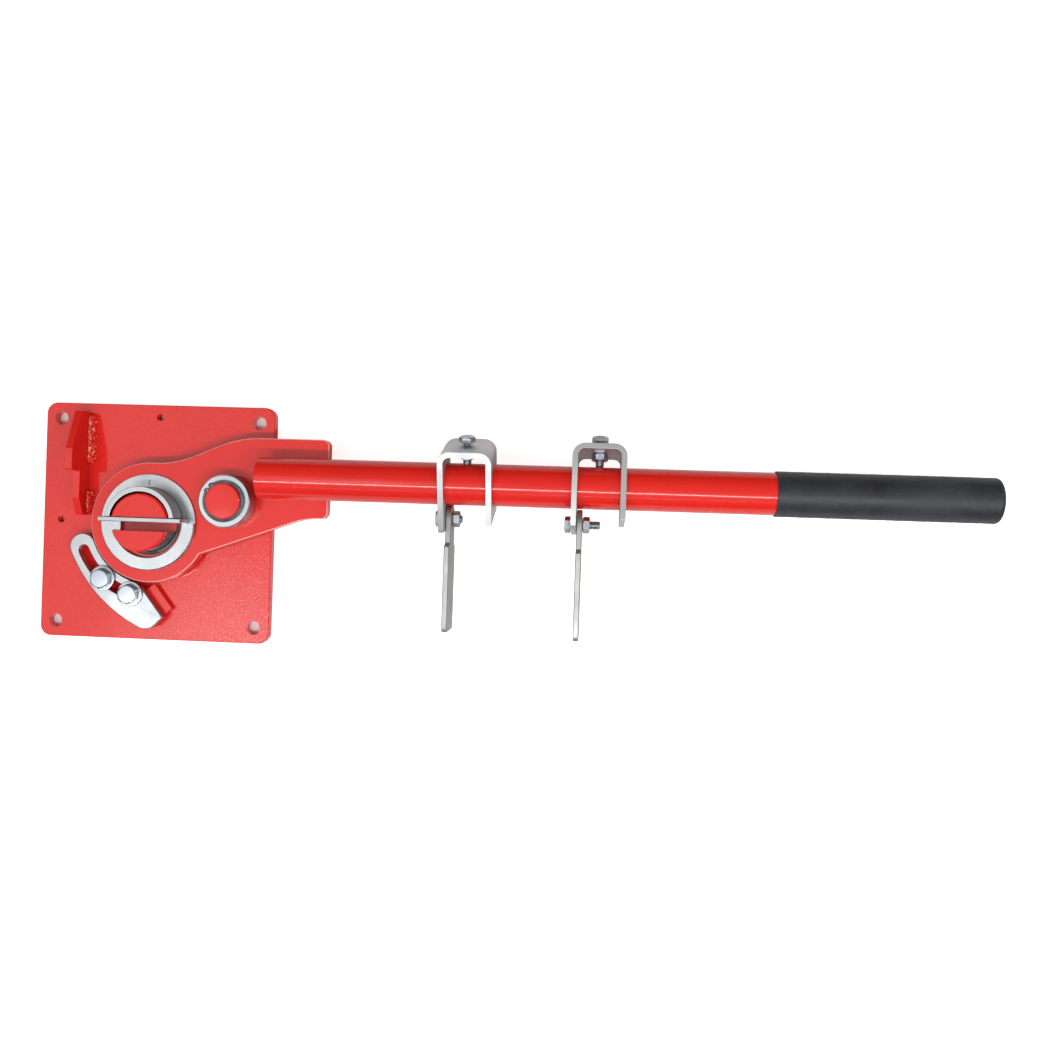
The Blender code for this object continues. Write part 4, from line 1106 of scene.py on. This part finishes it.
@dataclass
class Roller:
    """The bending roller."""

    bore: float = 16.7  # its inner radius
    chamfer: float = 1.0
    rub_depth: float = 0.06
    rub_width: float = 3.0  # half its width
    turning: Waves = ((0.02, 6.0, 0.0),)  # the fine waves of turning

    def build(self, finishes: Finishes) -> None:
        """Builds the roller: a chamfered ring with a shallow rub line where bars have run."""
        low, high = extent("roller")
        outer = (high[0] - low[0]) / 2
        rim = outer - self.chamfer
        wall = np.linspace(low[2] + self.chamfer, high[2] - self.chamfer, 60)
        rub = self.rub_depth * np.exp(-(((wall - wall.mean()) / self.rub_width) ** 2))
        profile = np.concatenate([
            [(self.bore, low[2] + 0.4), (self.bore + 0.4, low[2]), (rim, low[2])],
            np.stack([outer - 0.02 - (rub + waves(wall, self.turning)), wall], axis=-1),
            [(rim, high[2]), (self.bore + 0.9, high[2]), (self.bore, high[2] - 0.9)],
        ])
        grid = turned(profile, columns=128) + upright_centre("roller")
        shelled("roller", grid, Body.ROLLER, Slot.SATIN, finishes.roller)


@dataclass
class GaugeClamp:
    """One gauge clamp on the lever's tube, with its finger."""

    label: str  # inner or outer
    tilt: float  # the clamp's turn about the tube, degrees

    def build(self, finishes: Finishes) -> None:
        """Builds the strap, finger, bolts and nuts."""
        body = Body(f"{self.label}_clamp")
        plated(f"{self.label}_clamp_strap", 0.45, body, Slot.SATIN, finishes.strap)
        plated(f"{self.label}_finger", 0.35, Body(f"{self.label}_finger"), Slot.SATIN, finishes.finger)
        turn = math.radians(self.tilt)
        crown = np.array([0.0, math.cos(turn), math.sin(turn)])
        across = np.array(Axis.X.value)
        for place, outward in (("set", crown), ("pivot", -across)):
            HexFastener(f"{self.label}_{place}_bolt", body, outward, M8).build(finishes)
            HexFastener(f"{self.label}_{place}_nut", body, -outward, M8, nut=True).build(finishes)


@dataclass
class Studio:
    """The floor, the light and the camera."""

    lens: float = 36.92  # the camera's lens on a 36 mm sensor, millimetres
    place: Triple = (0.4200, 0.0154, 1.0083)  # the camera's place, metres
    # the camera's turn from looking straight down, degrees about X, Y and Z
    turn: Triple = (0.0, 4.02, 1.923)
    sky: float = 0.60  # strength of the sky overhead
    horizon: float = 0.10  # strength of the sky at the horizon
    rear: float = 0.6  # share of the sky that is left on the +Y side
    # direction, strength added there, and the cosines from its edge to its heart, of the sky that the
    # base plate mirrors and of the brighter sky that its near corner mirrors
    patches: tuple = (
        ((-0.42, -0.06, 0.905), 0.80, 0.955, 0.985),
        ((-0.327, -0.145, 0.934), 1.8, 0.9935, 0.9996),
    )
    warm: Colour = (1.0, 0.74, 0.50)  # the sky's colour low on the +Y side
    cool: Colour = (0.88, 0.95, 1.0)  # the sky's colour low on the -Y side
    plate_side: float = 0.225  # side of the base plate, metres
    plate_inset: tuple[float, float] = (0.006, 0.004)  # where the floor's lift ends inside its edge
    floor_reach: float = 9.0  # how far the floor goes each way, metres
    floor_drop: float = 0.0002  # how far the floor lies under the base plate, metres
    floor_lift: float = 0.76  # strength that the floor adds of itself for the camera
    target: Triple = (0.42, 0.0445, 0.047)  # the point of the tube that the strips light
    strip_length: float = 1.8

    def build(self) -> None:
        """Builds the whole set."""
        self.floor()
        self.world()
        self.lamp("upper_strip", (0.42, -0.35, 1.05), self.target, (self.strip_length, 0.09), 9.0)
        self.lamp("lower_strip", (0.42, -0.78, 0.80), self.target, (self.strip_length, 0.02), 0.7)
        self.lamp("low_spark", (1.25, 0.15, 0.55), (-0.08, 0.05, 0.03), (0.06, 0.06), 0.7)
        self.camera()
        bpy.context.scene.view_settings.view_transform = "Standard"

    def floor(self) -> None:
        """Builds the pale floor: white to the camera but for the shadow and what lies under the plate."""
        steps = np.linspace(-self.floor_reach, self.floor_reach, 13)
        x, y = np.meshgrid(steps, steps, indexing="ij")
        points = np.stack([x, y, np.full_like(x, -self.floor_drop)], axis=-1) / MM
        piece = surface("studio_floor", [points], closed_columns=False)
        material, graph, shader, where = blank_material("pale_floor")
        x, y, _ = graph.parts(where)
        across = graph.maths("MAXIMUM", graph.maths("ABSOLUTE", x), graph.maths("ABSOLUTE", y))
        clear = graph.ramp(across, *(self.plate_side / 2 - inset for inset in self.plate_inset))
        seen = graph.times(graph.add("ShaderNodeLightPath").outputs["Is Camera Ray"], self.floor_lift)
        graph.fill(shader, {
            "Base Color": graph.mixed(graph.noise(where, 3.0), (0.80, 0.80, 0.80), (0.83, 0.83, 0.83)),
            "Roughness": 0.9, "Emission Color": (1, 1, 1, 1), "Emission Strength": graph.times(seen, clear),
        })
        piece.data.materials.append(material)

    def world(self) -> None:
        """Lights the set from a plain sky that is brighter overhead than at the horizon."""
        world = bpy.data.worlds.new("studio")
        world.use_nodes = True
        bpy.context.scene.world = world
        graph = Graph(world.node_tree)
        way = graph.parts(graph.add("ShaderNodeTexCoord").outputs["Generated"])
        level = graph.ramp(way[2], 0.05, 0.80, self.horizon, self.sky)
        level = graph.times(level, graph.ramp(way[1], -0.1, 0.6, 1.0, self.rear))
        for heart, strength, wide, narrow in self.patches:
            x, y, z = (graph.times(socket, value) for socket, value in zip(way, heart))
            facing = graph.plus(graph.plus(x, y), z)
            level = graph.plus(level, graph.ramp(facing, wide, narrow, 0.0, strength))
        warmth = graph.times(graph.ramp(way[1], 0.0, 0.5), graph.ramp(way[2], 0.45, 0.85, 1.0, 0.0))
        coolness = graph.ramp(way[1], -0.7, -0.1, 1.0, 0.0)
        tone = graph.mixed(coolness, graph.mixed(warmth, (1.0, 1.0, 1.0), self.warm), self.cool)
        seen = graph.add("ShaderNodeLightPath").outputs["Is Camera Ray"]
        graph.fill(world.node_tree.nodes["Background"], {
            "Strength": graph.plus(graph.times(level, graph.maths("SUBTRACT", 1.0, seen)), seen),
            "Color": graph.mixed(seen, tone, (1.0, 1.0, 1.0)),
        })

    def lamp(self, name: str, place: Triple, target: Triple, size: tuple[float, float], power: float) -> None:
        """Builds a soft rectangular lamp.

        Args:
            name: its name.
            place: where it hangs, metres.
            target: what it points at.
            size: its width and height, metres.
            power: watts.
        """
        light = bpy.data.lights.new(name, "AREA")
        light.shape = "RECTANGLE"
        light.size, light.size_y = size
        light.energy = power
        holder = bpy.data.objects.new(name, light)
        holder.location = place
        holder.rotation_euler = (Vector(target) - Vector(place)).to_track_quat("-Z", "Y").to_euler()
        bpy.context.scene.collection.objects.link(holder)

    def camera(self) -> None:
        """Sets the camera where the photograph was taken from: above the tube, tipped a little."""
        data = bpy.data.cameras.new("camera")
        data.lens, data.sensor_width = self.lens, 36.0
        data.clip_start, data.clip_end = 0.01, 50.0
        holder = bpy.data.objects.new("camera", data)
        holder.location = self.place
        holder.rotation_euler = tuple(math.radians(angle) for angle in self.turn)
        bpy.context.scene.collection.objects.link(holder)
        bpy.context.scene.camera = holder


def main() -> None:
    """Builds the set and every sub-assembly, in order."""
    Studio().build()
    finishes = Finishes()
    clamps = GaugeClamp("inner", tilt=19.0), GaugeClamp("outer", tilt=-8.0)
    for assembly in (Base(), Former(), AngleStop(), Lever(), Roller(), *clamps):
        assembly.build(finishes)


if __name__ == "__main__":
    main()
